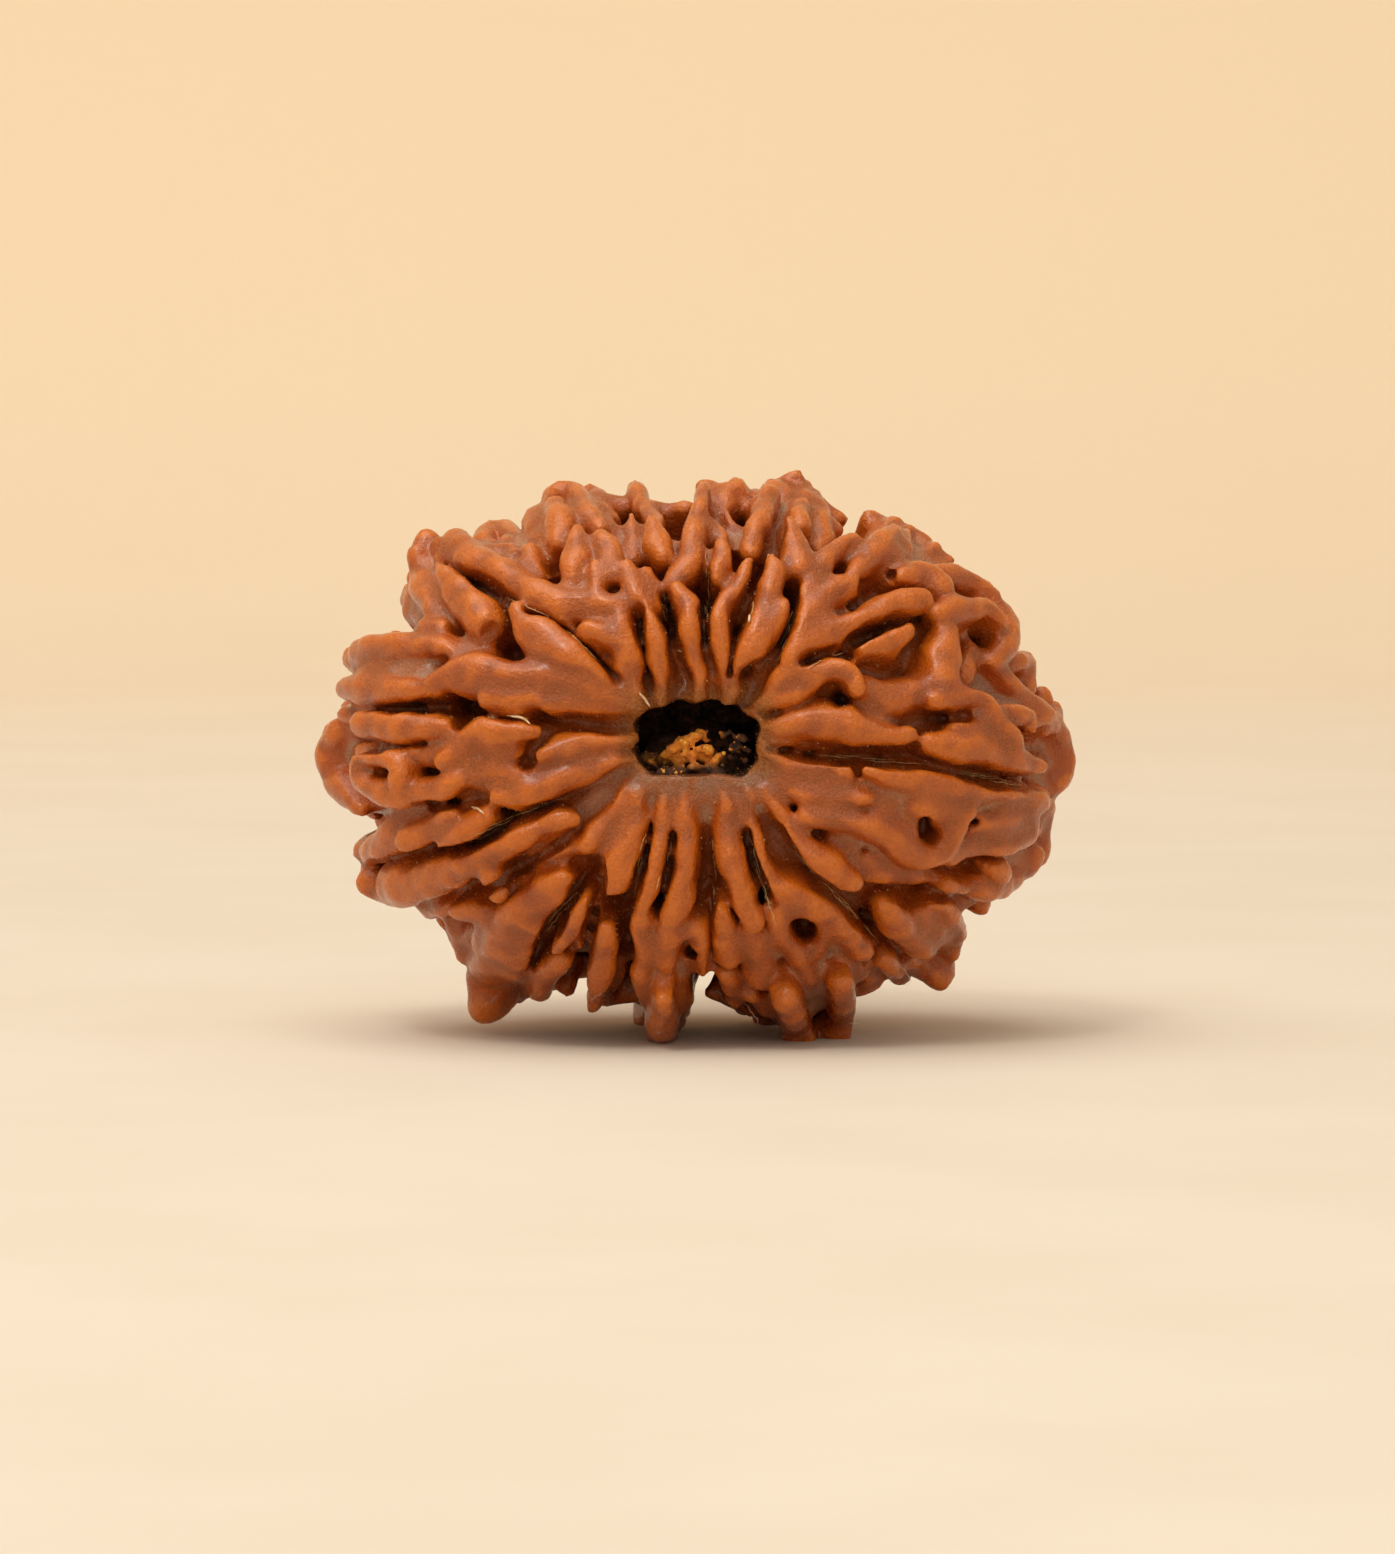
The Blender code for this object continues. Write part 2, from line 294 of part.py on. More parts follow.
        (0.0, 0.0, ((-2.15, 5.7, 0.2), (-2.05, 5.35, 0.34), (-1.9, 4.8, 0.34), (-1.7, 4.2, 0.3),
                    (-1.6, 3.5, 0.28), (-1.5, 2.8, 0.26))),
        (0.0, 0.0, ((-3.0, 7.4, 0.22), (-2.9, 7.0, 0.4), (-2.75, 6.6, 0.44), (-2.6, 6.3, 0.32))),
        (0.4, 0.0, ((-2.2, 7.4, 0.18), (-2.1, 6.8, 0.28), (-1.9, 6.1, 0.24))),
        (0.1, 0.6, ((-1.95, 9.5, 0.18), (-1.85, 9.1, 0.33), (-1.65, 8.5, 0.36), (-1.5, 8.1, 0.28))),
        (0.4, 2.4, ((-1.1, 8.7, 0.3), (-0.8, 8.3, 0.45))),
        (0.0, 2.2, ((-2.8, 9.6, 0.12), (-2.75, 9.1, 0.26), (-2.7, 8.5, 0.36), (-2.8, 8.0, 0.42))),
        (0.2, 2.2, ((-3.35, 8.6, 0.22), (-3.1, 8.1, 0.36))),
        (0.0, 2.4, ((-4.0, 10.0, 0.14), (-3.8, 9.5, 0.26), (-3.6, 8.9, 0.3))),
        (0.0, 0.2, ((-4.1, 8.8, 0.22), (-3.95, 8.5, 0.36), (-3.75, 8.0, 0.4), (-3.65, 7.5, 0.34),
                    (-3.75, 7.1, 0.22))),
        (0.0, 0.9, ((-5.9, 10.8, 0.28), (-5.4, 10.9, 0.3), (-4.9, 10.4, 0.38), (-4.6, 9.8, 0.4),
                    (-4.3, 9.3, 0.36))),
        (0.1, 0.5, ((-6.1, 10.3, 0.28), (-6.0, 9.9, 0.5), (-5.9, 9.2, 0.5), (-5.9, 8.8, 0.38))),
        (0.1, 2.0, ((-6.3, 10.7, 0.24), (-6.5, 10.2, 0.34), (-6.5, 9.4, 0.38))),
        (0.2, 1.8, ((-7.1, 10.0, 0.36), (-7.1, 9.4, 0.5), (-6.7, 8.6, 0.55), (-6.5, 8.1, 0.46))),
        (0.0, 0.0, ((-5.1, 9.1, 0.2), (-5.1, 8.75, 0.48), (-5.2, 8.2, 0.68), (-5.3, 7.7, 0.66),
                    (-5.3, 7.3, 0.45))),
        (0.3, 0.8, ((-7.2, 8.3, 0.28), (-7.2, 7.9, 0.46), (-6.9, 7.4, 0.44))),
        (0.0, 0.0, ((-4.3, 7.4, 0.14), (-4.3, 7.1, 0.27), (-4.3, 6.7, 0.27), (-4.3, 6.4, 0.14))),
    ),
}

# The narrow clefts in the seams between the lobes: (depth, half width, the points (x, z) along it).
CLEFTS = (
    (2.4, 0.16, ((2.9, -0.3), (5.4, -0.65), (7.2, -0.85), (9.1, -1.0), (11.0, -1.4))),
    (2.2, 0.22, ((10.8, -1.35), (12.2, -1.6), (13.6, -1.75), (15.4, -1.9))),
    (2.6, 0.22, ((3.2, -3.6), (4.2, -5.2), (5.4, -6.4), (6.6, -7.3), (8.0, -9.0))),
    (2.2, 0.16, ((2.0, -3.6), (2.3, -5.0), (2.8, -6.4), (3.3, -7.2))),
    (2.4, 0.16, ((0.45, -3.6), (0.55, -5.2), (0.65, -6.8), (0.6, -8.4), (0.55, -10.4))),
    (2.2, 0.15, ((-1.05, -3.8), (-1.2, -5.2), (-1.5, -6.6), (-1.75, -7.6))),
    (2.4, 0.16, ((-1.95, -3.4), (-2.2, -5.0), (-2.6, -6.3), (-3.1, -7.6), (-3.1, -9.6))),
    (2.6, 0.22, ((-4.6, -5.6), (-5.4, -6.9), (-6.3, -8.2), (-7.2, -10.0))),
    (2.2, 0.17, ((-4.2, -5.0), (-4.3, -6.6), (-4.6, -8.0), (-5.0, -10.2))),
    (2.4, 0.18, ((-14.2, -5.4), (-11.6, -4.95), (-9.6, -4.5), (-7.6, -3.35), (-5.4, -2.4), (-3.9, -1.7))),
    (2.4, 0.2, ((-11.6, -7.3), (-10.0, -6.8), (-8.4, -6.2), (-6.9, -5.2), (-5.4, -4.2))),
    (2.2, 0.2, ((-14.8, 1.5), (-13.0, 1.45), (-11.2, 1.55), (-9.9, 1.35))),
    (1.8, 0.14, ((-9.9, 1.3), (-8.4, 0.98), (-6.8, 0.85), (-5.2, 0.75), (-4.0, 0.6))),
    (2.0, 0.15, ((-14.6, -0.25), (-13.0, -0.3), (-11.6, -0.1), (-10.9, -0.05))),
    (2.2, 0.18, ((-12.2, -2.95), (-10.6, -2.75), (-9.4, -2.6))),
    (2.4, 0.16, ((-7.4, 5.6), (-6.0, 5.1), (-4.8, 4.1), (-3.9, 3.2), (-3.2, 2.4))),
    (2.4, 0.2, ((-11.0, 7.9), (-9.6, 7.1), (-8.5, 6.4), (-7.9, 5.8))),
    (2.4, 0.14, ((-2.5, 6.0), (-2.5, 4.9), (-2.3, 3.7), (-2.1, 2.9))),
    (2.6, 0.18, ((-1.5, 6.6), (-1.25, 5.7), (-1.1, 4.4), (-0.85, 3.2))),
    (2.4, 0.16, ((0.35, 8.4), (0.4, 7.0), (0.3, 5.4), (0.4, 3.6))),
    (2.4, 0.15, ((2.5, 8.0), (2.35, 6.8), (1.8, 5.4), (1.55, 4.2), (1.4, 3.2), (1.3, 2.5))),
    (2.6, 0.18, ((4.15, 6.6), (4.1, 5.4), (3.6, 4.3), (3.0, 3.2))),
    (2.2, 0.15, ((6.0, 4.0), (5.0, 3.65), (4.2, 3.25))),
    (2.6, 0.22, ((6.3, 4.1), (7.6, 4.85), (9.0, 5.35), (10.2, 5.0))),
    (2.4, 0.18, ((6.2, 5.6), (7.0, 6.2), (8.0, 6.6), (9.4, 6.6))),
    (2.2, 0.2, ((3.4, 7.6), (3.4, 8.8), (3.4, 10.0))),
    (2.2, 0.17, ((9.6, 1.05), (10.8, 1.0), (11.8, 1.15))),
    (2.2, 0.2, ((7.0, -6.3), (8.6, -6.7), (10.2, -6.9), (11.6, -7.0))),
    (2.2, 0.18, ((11.3, -5.4), (12.8, -5.2), (14.4, -4.95))),
)

# The deeper pits and eyes between the ridges: (x, z, half width, half height, depth).
PITS = (
    (-8.7, 4.5, 0.75, 0.85, 0.7),
    (-10.9, 3.6, 0.3, 0.25, 0.9),
    (-6.5, 1.9, 0.22, 0.3, 0.9),
    (-13.35, -1.3, 0.4, 0.2, 1.3),
    (-11.6, -1.4, 0.42, 0.34, 1.5),
    (-13.8, -0.3, 0.16, 0.16, 1.0),
    (-7.4, -0.9, 0.4, 0.4, 1.2),
    (-4.5, -0.6, 0.16, 0.12, 0.8),
    (-7.6, -5.6, 0.6, 0.45, 1.6),
    (-9.6, -6.4, 0.3, 0.4, 1.4),
    (-9.3, -7.1, 0.3, 0.2, 1.4),
    (-0.6, -7.95, 0.4, 0.12, 1.0),
    (-0.25, -9.5, 0.34, 0.36, 1.8),
    (4.75, -8.4, 0.26, 0.62, 2.0),
    (6.1, -8.9, 0.25, 0.2, 1.8),
    (9.9, -3.6, 0.34, 0.34, 1.6),
    (11.3, -2.2, 0.2, 0.24, 1.4),
    (11.9, -3.6, 0.42, 0.26, 1.2),
    (7.2, -4.8, 0.3, 0.24, 1.2),
    (10.8, -5.8, 0.3, 0.16, 1.2),
    (13.4, -5.2, 0.4, 0.18, 1.4),
    (9.1, -7.1, 0.45, 0.26, 1.0),
    (6.15, 1.75, 0.45, 0.3, 1.3),
    (10.6, 0.95, 0.4, 0.18, 1.4),
    (11.7, 3.2, 0.22, 0.4, 1.6),
    (8.4, 7.4, 0.22, 0.26, 1.4),
    (7.2, 6.8, 0.4, 0.24, 1.2),
    (-1.1, 4.75, 0.28, 0.26, 1.4),
)


def smooth_step(share):
    """From 0 to 1 with soft ends."""
    held = min(max(share, 0.0), 1.0)
    return held * held * (3.0 - 2.0 * held)


def rise(rho):
    """How much further out than the body's mouth the crest shell stands, by distance from the axis."""
    return 0.55 + 1.35 * smooth_step((rho - 0.2) / 0.35)


def outward(point):
    """The crest shell's outward direction at a point."""
    slope = Vector((point.x / CREST_X**2, point.y / (BODY_Y + 1.8) ** 2, (point.z - CENTRE_Z) / CREST_Z**2))
    return slope.normalized()


def front_point(x, z, drop, shift):
    """The place on the crest shell that the photographed point (x, z) lies at, and how far out it is."""
    y = 0.0
    for _ in range(4):
        behind = y + shift - MOUTH_Y
        wider = 1.0 + behind / EYE
        side = x * wider
        height = (z * wider - behind * math.sin(VIEW_TILT)) / math.cos(VIEW_TILT)
        rho = math.hypot(side / CREST_X, (height - CENTRE_Z) / CREST_Z)
        held = min(rho, 0.995)
        y = -(BODY_Y + rise(held)) * math.sqrt(1.0 - held * held)
    point = Vector((side, y + shift, height))
    return point - outward(point) * drop, rho


def smooth_run(points, step):
    """The same run with more points on it, as a Catmull-Rom curve."""
    run = []
    last = len(points) - 1
    for i in range(last):
        a = points[max(i - 1, 0)]
        b = points[i]
        c = points[i + 1]
        d = points[min(i + 2, last)]
        count = max(1, math.ceil(math.dist(b[:2], c[:2]) / step))
        for k in range(count):
            t = k / count
            place = []
            for p, q, r, s in zip(a, b, c, d):
                bend = (2 * p - 5 * q + 4 * r - s) * t**2 + (3 * q - p - 3 * r + s) * t**3
                place.append(q + 0.5 * ((r - p) * t + bend))
            run.append(tuple(place))
    run.append(points[-1])
    return run


def uneven(point, size):
    """A smooth random value from about -1 to 1 that changes over this many millimetres."""
    return noise.noise(point / size + Vector((SEED, 0.0, 0.0)))


def add_blade(build, centres, widths, depths):
    """Adds one closed ridge: a round-topped wall that follows its crest, is wider at the root and leans out
    at its two ends, as the fingers on the real stone do. Where it points straight out it is a finger."""
    length = sum((b - a).length for a, b in zip(centres, centres[1:]))
    start = (centres[0] - centres[1]).normalized()
    finish = (centres[-1] - centres[-2]).normalized()
    run = [
        (centres[0] + start * (widths[0] + TIP), widths[0] * 0.35, widths[0] * 0.8, depths[0]),
        (centres[0] + start * (widths[0] * 0.6 + TIP), widths[0] * 0.85, widths[0] * 0.22, depths[0]),
    ]
    run += [(c, w, 0.0, d) for c, w, d in zip(centres, widths, depths)]
    run += [
        (centres[-1] + finish * (widths[-1] * 0.6 + TIP), widths[-1] * 0.85, widths[-1] * 0.22, depths[-1]),
        (centres[-1] + finish * (widths[-1] + TIP), widths[-1] * 0.35, widths[-1] * 0.8, depths[-1]),
    ]
    rings = []
    gone = 0.0
    for i, (centre, width, sink, depth) in enumerate(run):
        gone += (centre - run[max(i - 1, 0)][0]).length
        left = length + widths[0] + widths[-1] + 2.0 * TIP - gone
        along = run[min(i + 1, len(run) - 1)][0] - run[max(i - 1, 0)][0]
        up = outward(centre)
        facing = along.normalized().dot(up) ** 2
        depth = depth * (1.0 - facing) + 2.6 * width * facing
        if centre.y < 3.0:
            up += Vector((0.0, -0.35, 0.0))
        up = (up - along * (up.dot(along) / along.length_squared)).normalized()
        side = along.cross(up).normalized()
        width = (width + PLUMP) * (1.0 + 0.16 * uneven(centre, 1.4))
        top = centre - up * (sink + 0.25 * max(uneven(centre, 2.1), -0.4))
        lean = min(LEAN * depth, 0.42 * length)
        pull = start * lean * max(1.0 - gone / 2.2, 0.0) + finish * lean * max(1.0 - left / 2.2, 0.0)
        foot = width + FLARE
        section = [(-foot, -1.0), (-0.5 * (foot + width), -0.5)]
        bend = min(width, SHOULDER)
        edge = [(width - bend + bend * math.cos(a), bend * (math.sin(a) - 1.0) / depth) for a in SHOULDER_ARC]
        section += [(-across, over) for across, over in edge] + [(0.0, 0.05 * bend / depth)] + edge[::-1]
        section += [(0.5 * (foot + width), -0.5), (foot, -1.0)]
        ring = []
        for across, over in section:
            ring.append(build.verts.new((top + side * across + (up * depth + pull) * over) * MM))
        rings.append(ring)
    size = len(rings[0])
    for one, two in zip(rings, rings[1:]):
        for k in range(size):
            build.faces.new((one[k], one[(k + 1) % size], two[(k + 1) % size], two[k]))
    build.faces.new(reversed(rings[0]))
    build.faces.new(rings[-1])


def root_depth(point):
    """The depth a ridge needs at this crest point to end inside the body."""
    reach = Vector((point.x / BODY_X, point.y / BODY_Y, (point.z - CENTRE_Z) / BODY_Z)).length
    over = max(reach - 1.0, 0.0) / max(reach, 0.1) * point.length
    return over + ROOT_DEPTH


def add_ellipsoid(build, centre, radii, rings):
    made = bmesh.ops.create_icosphere(build, subdivisions=rings, radius=1.0)
    for vert in made["verts"]:
        vert.co = (centre + Vector((vert.co.x * radii[0], vert.co.y * radii[1], vert.co.z * radii[2]))) * MM


def web_share(x, z):
    """How far the body rises from valley floor to crest, this way from the channel: none at a seam."""
    angle = math.degrees(math.atan2(z, x)) % 360
    seams = sorted((start % 360, fill) for start, fill in LOBES)
    seams.append((seams[0][0] + 360, seams[0][1]))
    if angle < seams[0][0]:
        angle += 360
    for (low, fill), (high, _) in zip(seams, seams[1:]):
        if low <= angle <= high:
            across = abs(2.0 * (angle - low) / (high - low) - 1.0)
            return fill * (1.0 - across**5) - 0.16 * across**10
    return 0.0


def add_body(build):
    """The body under the ridges: an ellipsoid whose lobes swell between the seams."""
    made = bmesh.ops.create_uvsphere(build, u_segments=240, v_segments=90, radius=1.0)
    for vert in made["verts"]:
        side, up, along = vert.co
        out = min(math.hypot(side, up), 1.0)
        dip = DIP * smooth_step((out - 0.17) / 0.30)
        low = Vector((side * BODY_X, -along * (BODY_Y - dip), up * BODY_Z + CENTRE_Z))
        high = Vector((side * CREST_X, -along * (BODY_Y + rise(out)), up * CREST_Z + CENTRE_Z))
        share = web_share(low.x, low.z) * min(out * 1.8, 1.0)
        if share > 0.0:
            share *= 1.0 - (1.0 - BACK_WEB) * min(max(low.y / 4.0, 0.0), 1.0)
        vert.co = low.lerp(high, share) * MM


def run_to_mouth(placed):
    """Carries a ridge that ends by the mouth on to the mouth's edge, ever lower and narrower."""
    point, rho, width = placed[-1]
    edge = Vector((min(max(point.x, -2.3), 2.3), point.y, min(max(point.z, -1.3), 1.3)))
    if not 0.4 < (edge - point).length < 2.7:
        return placed
    further = []
    for share, sink, narrow in ((0.4, 0.2, 0.9), (0.8, 0.42, 0.7)):
        further.append((point.lerp(edge, share) + Vector((0.0, sink, 0.0)), rho, width * narrow))
    return placed + further


def add_front_ridges(build):
    """The ridges of the photographed face. Returns the ends that reach the bead's edge, for the back."""
    ends = []
    for rows in RIDGES.values():
        for drop, shift, points in rows:
            placed = [front_point(x, z, drop, shift) + (w,) for x, z, w in smooth_run(points, 0.55)]
            placed = run_to_mouth(run_to_mouth(placed)[::-1])
            centres = [point for point, rho, w in placed]
            add_blade(build, centres, [w for point, rho, w in placed], [root_depth(c) for c in centres])
            for (point, rho, width) in (placed[0], placed[-1]):
                if rho > 0.84 and drop < 0.6:
                    ends.append((point, rho, width))
    return ends


def add_openings(build):
    """What is cut out of the face: a thin wedge along each cleft, and an egg shape for each pit."""
    for depth, half, points in CLEFTS:
        places = [front_point(x, z, 0.0, 0.0)[0] for x, z in smooth_run(points, 0.4)]
        rings = []
        for i, place in enumerate(places):
            along = places[min(i + 1, len(places) - 1)] - places[max(i - 1, 0)]
            up = (outward(place) + Vector((0.0, -0.6, 0.0))).normalized()
            side = along.cross(up).normalized()
            full = math.sin(math.pi * (i + 0.5) / len(places)) ** 0.5
            wide = half * (0.5 + 0.5 * full) * (1.0 + 0.25 * uneven(place, 1.1))
            low = place - up * depth * (0.4 + 0.6 * full)
            high = place + up
            brim = side * wide * 2.2
            foot = side * wide * 0.7
            section = (high - brim, low - foot, low + foot, high + brim)
            rings.append([build.verts.new(p * MM) for p in section])
        for one, two in zip(rings, rings[1:]):
            for k in range(4):
                build.faces.new((one[k], one[(k + 1) % 4], two[(k + 1) % 4], two[k]))
        build.faces.new(reversed(rings[0]))
        build.faces.new(rings[-1])
    for x, z, wide, high, deep in PITS:
        place = front_point(x, z, 0.0, 0.0)[0]
        add_ellipsoid(build, place - outward(place) * deep * 0.5, (wide, deep, high), 2)


def add_back_ridges(build, ends):
    """Carries the ridges that reach the edge over to the back, towards the far mouth, with side fingers.
    A ridge that ends in a seam stops there, so that the seam stays open."""
    draw = random.Random(SEED)
    for point, rho, width in ends:
        if web_share(point.x, point.z) < 0.10:
            continue
        turn = math.atan2((point.z - CENTRE_Z) / CREST_Z, point.x / CREST_X)
        start = math.asin(max(min(point.y / (BODY_Y + 1.8), 0.5), -0.5))
        stop = math.radians(draw.choice((34, 48, 62, 74)))
        bend = draw.uniform(-0.10, 0.10)
        wave = draw.uniform(2.2, 3.4)
        phase = draw.uniform(0.0, 6.28)
        reach = min(max(rho + 0.03, 0.92), 1.06)
        centres = []
        widths = []
        count = 12
        for k in range(count):
            t = k / (count - 1)
            lat = start + (stop - start) * t
            far = math.cos(lat)
            sunk = 0.055 * max(1.0 - t * 5.0, 0.0) + 0.03 * (1.0 + math.sin(wave * 6.28 * t + phase))
            scale = reach + (1.0 - reach) * min(t * 1.6, 1.0) - sunk
            yaw = turn + bend * math.sin(t * 4.4) * t + 0.012 * math.sin(9.0 * t + phase)
            centres.append(
                Vector(
                    (
                        CREST_X * scale * far * math.cos(yaw),
                        (BODY_Y + rise(far)) * (1.0 - sunk) * math.sin(lat),
                        CREST_Z * scale * far * math.sin(yaw) + CENTRE_Z,
                    )
                )
            )
            widths.append(min(max(0.8 * width * (1.0 - 0.35 * t), 0.3), 0.65))
        add_blade(build, centres, widths, [root_depth(c) for c in centres])
        for k in (3, 6, 8):
            if draw.random() < 0.6:
                back = centres[k - 1] - centres[k]
                away = outward(centres[k]).cross(back).normalized() * draw.choice((-1, 1))
                tip = centres[k] + away * draw.uniform(0.8, 1.5) + back * draw.uniform(0.1, 0.8)
                tip = tip - outward(tip) * draw.uniform(0.0, 0.5)
                add_blade(build, [centres[k], (centres[k] + tip) / 2, tip], [0.4, 0.4, 0.35], [2.0, 2.0, 2.0])


def add_feet(build):
    """Two low tips behind, hidden in the photo, that with the front tips make the bead stand."""
    for x, y, width in ((-2.0, 4.4, 0.7), (3.2, 4.6, 0.7)):
        low = -AXIS_HEIGHT - 0.6
        course = ((0.9, 1.6, 1.5), (1.0, 0.4, 0.2), (1.0, -0.4, 0.15), (0.9, -1.8, 0.9))
        centres = [Vector((x * share, y + back, low + up)) for share, back, up in course]
        add_blade(build, centres, [width * 0.7, width, width, width * 0.7], [root_depth(c) for c in centres])


def as_object(name, build, collection):
    bmesh.ops.recalc_face_normals(build, faces=build.faces)
    mesh = bpy.data.meshes.new(name)
    build.to_mesh(mesh)
    build.free()
    made = bpy.data.objects.new(name, mesh)
    collection.objects.link(made)
    return made


def bake(made):
    """Swaps the object's mesh for what its modifiers make of it."""
    bpy.context.view_layer.update()
    graph = bpy.context.evaluated_depsgraph_get()
    mesh = bpy.data.meshes.new_from_object(made.evaluated_get(graph))
    made.modifiers.clear()
    made.data = mesh


def keep_largest_shell(made):
    """Keeps the one shell with the most faces, and drops specks and closed hollows that fusing leaves."""
    build = bmesh.new()
    build.from_mesh(made.data)
    left = set(build.faces)
    shells = []
    while left:
        todo = [left.pop()]
        shell = []
        while todo:
            face = todo.pop()
            shell.append(face)
            for edge in face.edges:
                for other in edge.link_faces:
                    if other in left:
                        left.remove(other)
                        todo.append(other)
        shells.append(shell)
    shells.sort(key=len)
    bmesh.ops.delete(build, geom=[face for shell in shells[:-1] for face in shell], context="FACES")
    build.to_mesh(made.data)
    build.free()


def channel_prism(name, inset, low, high, collection):
    """A bar with the channel's outline, inset all round, from low to high along Y."""
    build = bmesh.new()
    loop = smooth_run(CHANNEL + CHANNEL[:1], 0.5)[:-1]
    rings = []
    for y in (low, high):
        ring = []
        for x, z in loop:
            share = 1.0 - inset / math.hypot(x, z)
            ring.append(build.verts.new(Vector((x * share, y, z * share)) * MM))
        rings.append(ring)
    size = len(loop)
    for k in range(size):
        build.faces.new((rings[0][k], rings[0][(k + 1) % size], rings[1][(k + 1) % size], rings[1][k]))
    build.faces.new(reversed(rings[0]))
    build.faces.new(rings[1])
    return as_object(name, build, collection)


def cut(made, other, operation):
    boolean = made.modifiers.new(operation.title() + " " + other.name, "BOOLEAN")
    boolean.solver = "EXACT"
    boolean.operation = operation
    boolean.object = other
    bake(made)


def wood(name, colour, rough):
    material = bpy.data.materials.new(name)
    material.use_nodes = True
    shader = material.node_tree.nodes["Principled BSDF"]
    shader.inputs["Base Color"].default_value = colour
    shader.inputs["Roughness"].default_value = rough
    return material


def fuse(made, voxel, many=False):
    """Fuses overlapping shapes into one skin, or into one for each group of them where there are many."""
    remesh = made.modifiers.new("Fuse", "REMESH")
    remesh.mode = "VOXEL"
    remesh.voxel_size = voxel * MM
    bake(made)
    if not many:
        keep_largest_shell(made)


def weather(made, rough):
    """Makes the skin uneven, in broad swells and small bumps, as grown wood is."""
    mesh = made.data
    moved = []
    for vert in mesh.vertices:
        place = vert.co / MM
        calm = min(max((math.hypot(place.x, place.z) - 2.6) / 1.5, 0.15), 1.0)
        swell = rough * calm * (uneven(place, 2.3) + FINE_BUMPS * uneven(place, 0.8))
        moved.append(vert.co + vert.normal * swell * MM)
    for vert, place in zip(mesh.vertices, moved):
        vert.co = place


def soften_and_reduce(made, rounds, faces):
    """Softens the skin and brings it to the wanted number of triangles."""
    soften = made.modifiers.new("Soften", "SMOOTH")
    soften.factor = 0.5
    soften.iterations = rounds
    bake(made)
    reduce = made.modifiers.new("Reduce", "DECIMATE")
    reduce.ratio = min(faces / (2.0 * len(made.data.polygons)), 1.0)
    reduce.use_collapse_triangulate = True
    bake(made)


for old in list(bpy.data.objects):
    bpy.data.objects.remove(old, do_unlink=True)

bead_pieces = bpy.data.collections.new("Rudraksha bead")
cutters = bpy.data.collections.new("Cutters")
cutters.hide_render = True
bpy.context.scene.collection.children.link(bead_pieces)
bpy.context.scene.collection.children.link(cutters)

# Bead: the woody stone, grown as one piece. Its body and ridges are fused, then the channel is bored through.
shape = bmesh.new()
add_body(shape)
edge_ends = add_front_ridges(shape)
add_back_ridges(shape, edge_ends)
add_feet(shape)
bead = as_object("bead", shape, bead_pieces)
fuse(bead, VOXEL)

# Openings: the narrow clefts along the seams and the small eyes between the ridges.
shape = bmesh.new()
add_openings(shape)
opening_cutter = as_object("opening cutter", shape, cutters)
fuse(opening_cutter, OPENING_VOXEL, True)
cut(bead, opening_cutter, "DIFFERENCE")

channel_cutter = channel_prism("channel cutter", 0.0, -20.0, 20.0, cutters)
cut(bead, channel_cutter, "DIFFERENCE")
fuse(bead, VOXEL)
weather(bead, 0.28)
soften_and_reduce(bead, SOFTENING, BEAD_FACES)

# Floor: the tips that touch the table are flat there.
shape = bmesh.new()
bmesh.ops.create_cube(shape, size=1.0)
for vert in shape.verts:
    vert.co = Vector((vert.co.x * 60, vert.co.y * 60, vert.co.z * 10 - AXIS_HEIGHT - 5)) * MM
floor_cutter = as_object("floor cutter", shape, cutters)
cut(bead, floor_cutter, "DIFFERENCE")
keep_largest_shell(bead)

# Pith: the dried crumbly core that is left low in the channel.
shape = bmesh.new()
crumbs = random.Random(SEED + 1)
for step in range(60):
    y = -6.6 + 13.4 * step / 59
    level = -1.1 + 2.0 * min(max((y + 4.6) / 3.0, 0.0), 1.0)
    x = crumbs.uniform(-2.0, 2.0)
    z = crumbs.uniform(-1.1, level)
    add_ellipsoid(shape, Vector((x, y, z)), (crumbs.uniform(0.6, 1.0), crumbs.uniform(0.5, 0.9), 0.62), 3)
heap = ((-0.9, -5.6, -0.5, 0.75), (0.1, -5.2, -0.3, 0.62), (-0.3, -4.6, 0.15, 0.5), (1.5, -5.8, -0.8, 0.5))
for x, y, z, size in heap:
    add_ellipsoid(shape, Vector((x, y, z)), (size, size, size * 0.85), 3)
pith = as_object("pith", shape, bead_pieces)
fuse(pith, 0.2)
soften_and_reduce(pith, 2, 620)
pith_bar = channel_prism("pith bar", PITH_GAP, -7.6, 7.6, cutters)
cut(pith, pith_bar, "INTERSECT")
keep_largest_shell(pith)

# Places the bead with the middle of its footprint at the origin and its tips on the ground.
lows = [min(v.co[i] for v in bead.data.vertices) for i in range(3)]
highs = [max(v.co[i] for v in bead.data.vertices) for i in range(3)]
centring = Vector((-(lows[0] + highs[0]) / 2, -(lows[1] + highs[1]) / 2, -lows[2]))
for piece in (bead, pith):
    for vert in piece.data.vertices:
        vert.co += centring
    piece.data.polygons.foreach_set("use_smooth", [True] * len(piece.data.polygons))

bead.data.materials.clear()
bead.data.materials.append(wood("woody stone", (0.36, 0.11, 0.035, 1.0), 0.5))
pith.data.materials.clear()
pith.data.materials.append(wood("dried pith", (0.62, 0.27, 0.06, 1.0), 0.9))

for helper in cutters.objects:
    helper.display_type = "WIRE"
    helper.location = centring
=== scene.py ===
import math
import random

import bmesh
import bpy
import numpy as np
from mathutils import Matrix, Vector, noise
from mathutils.bvhtree import BVHTree


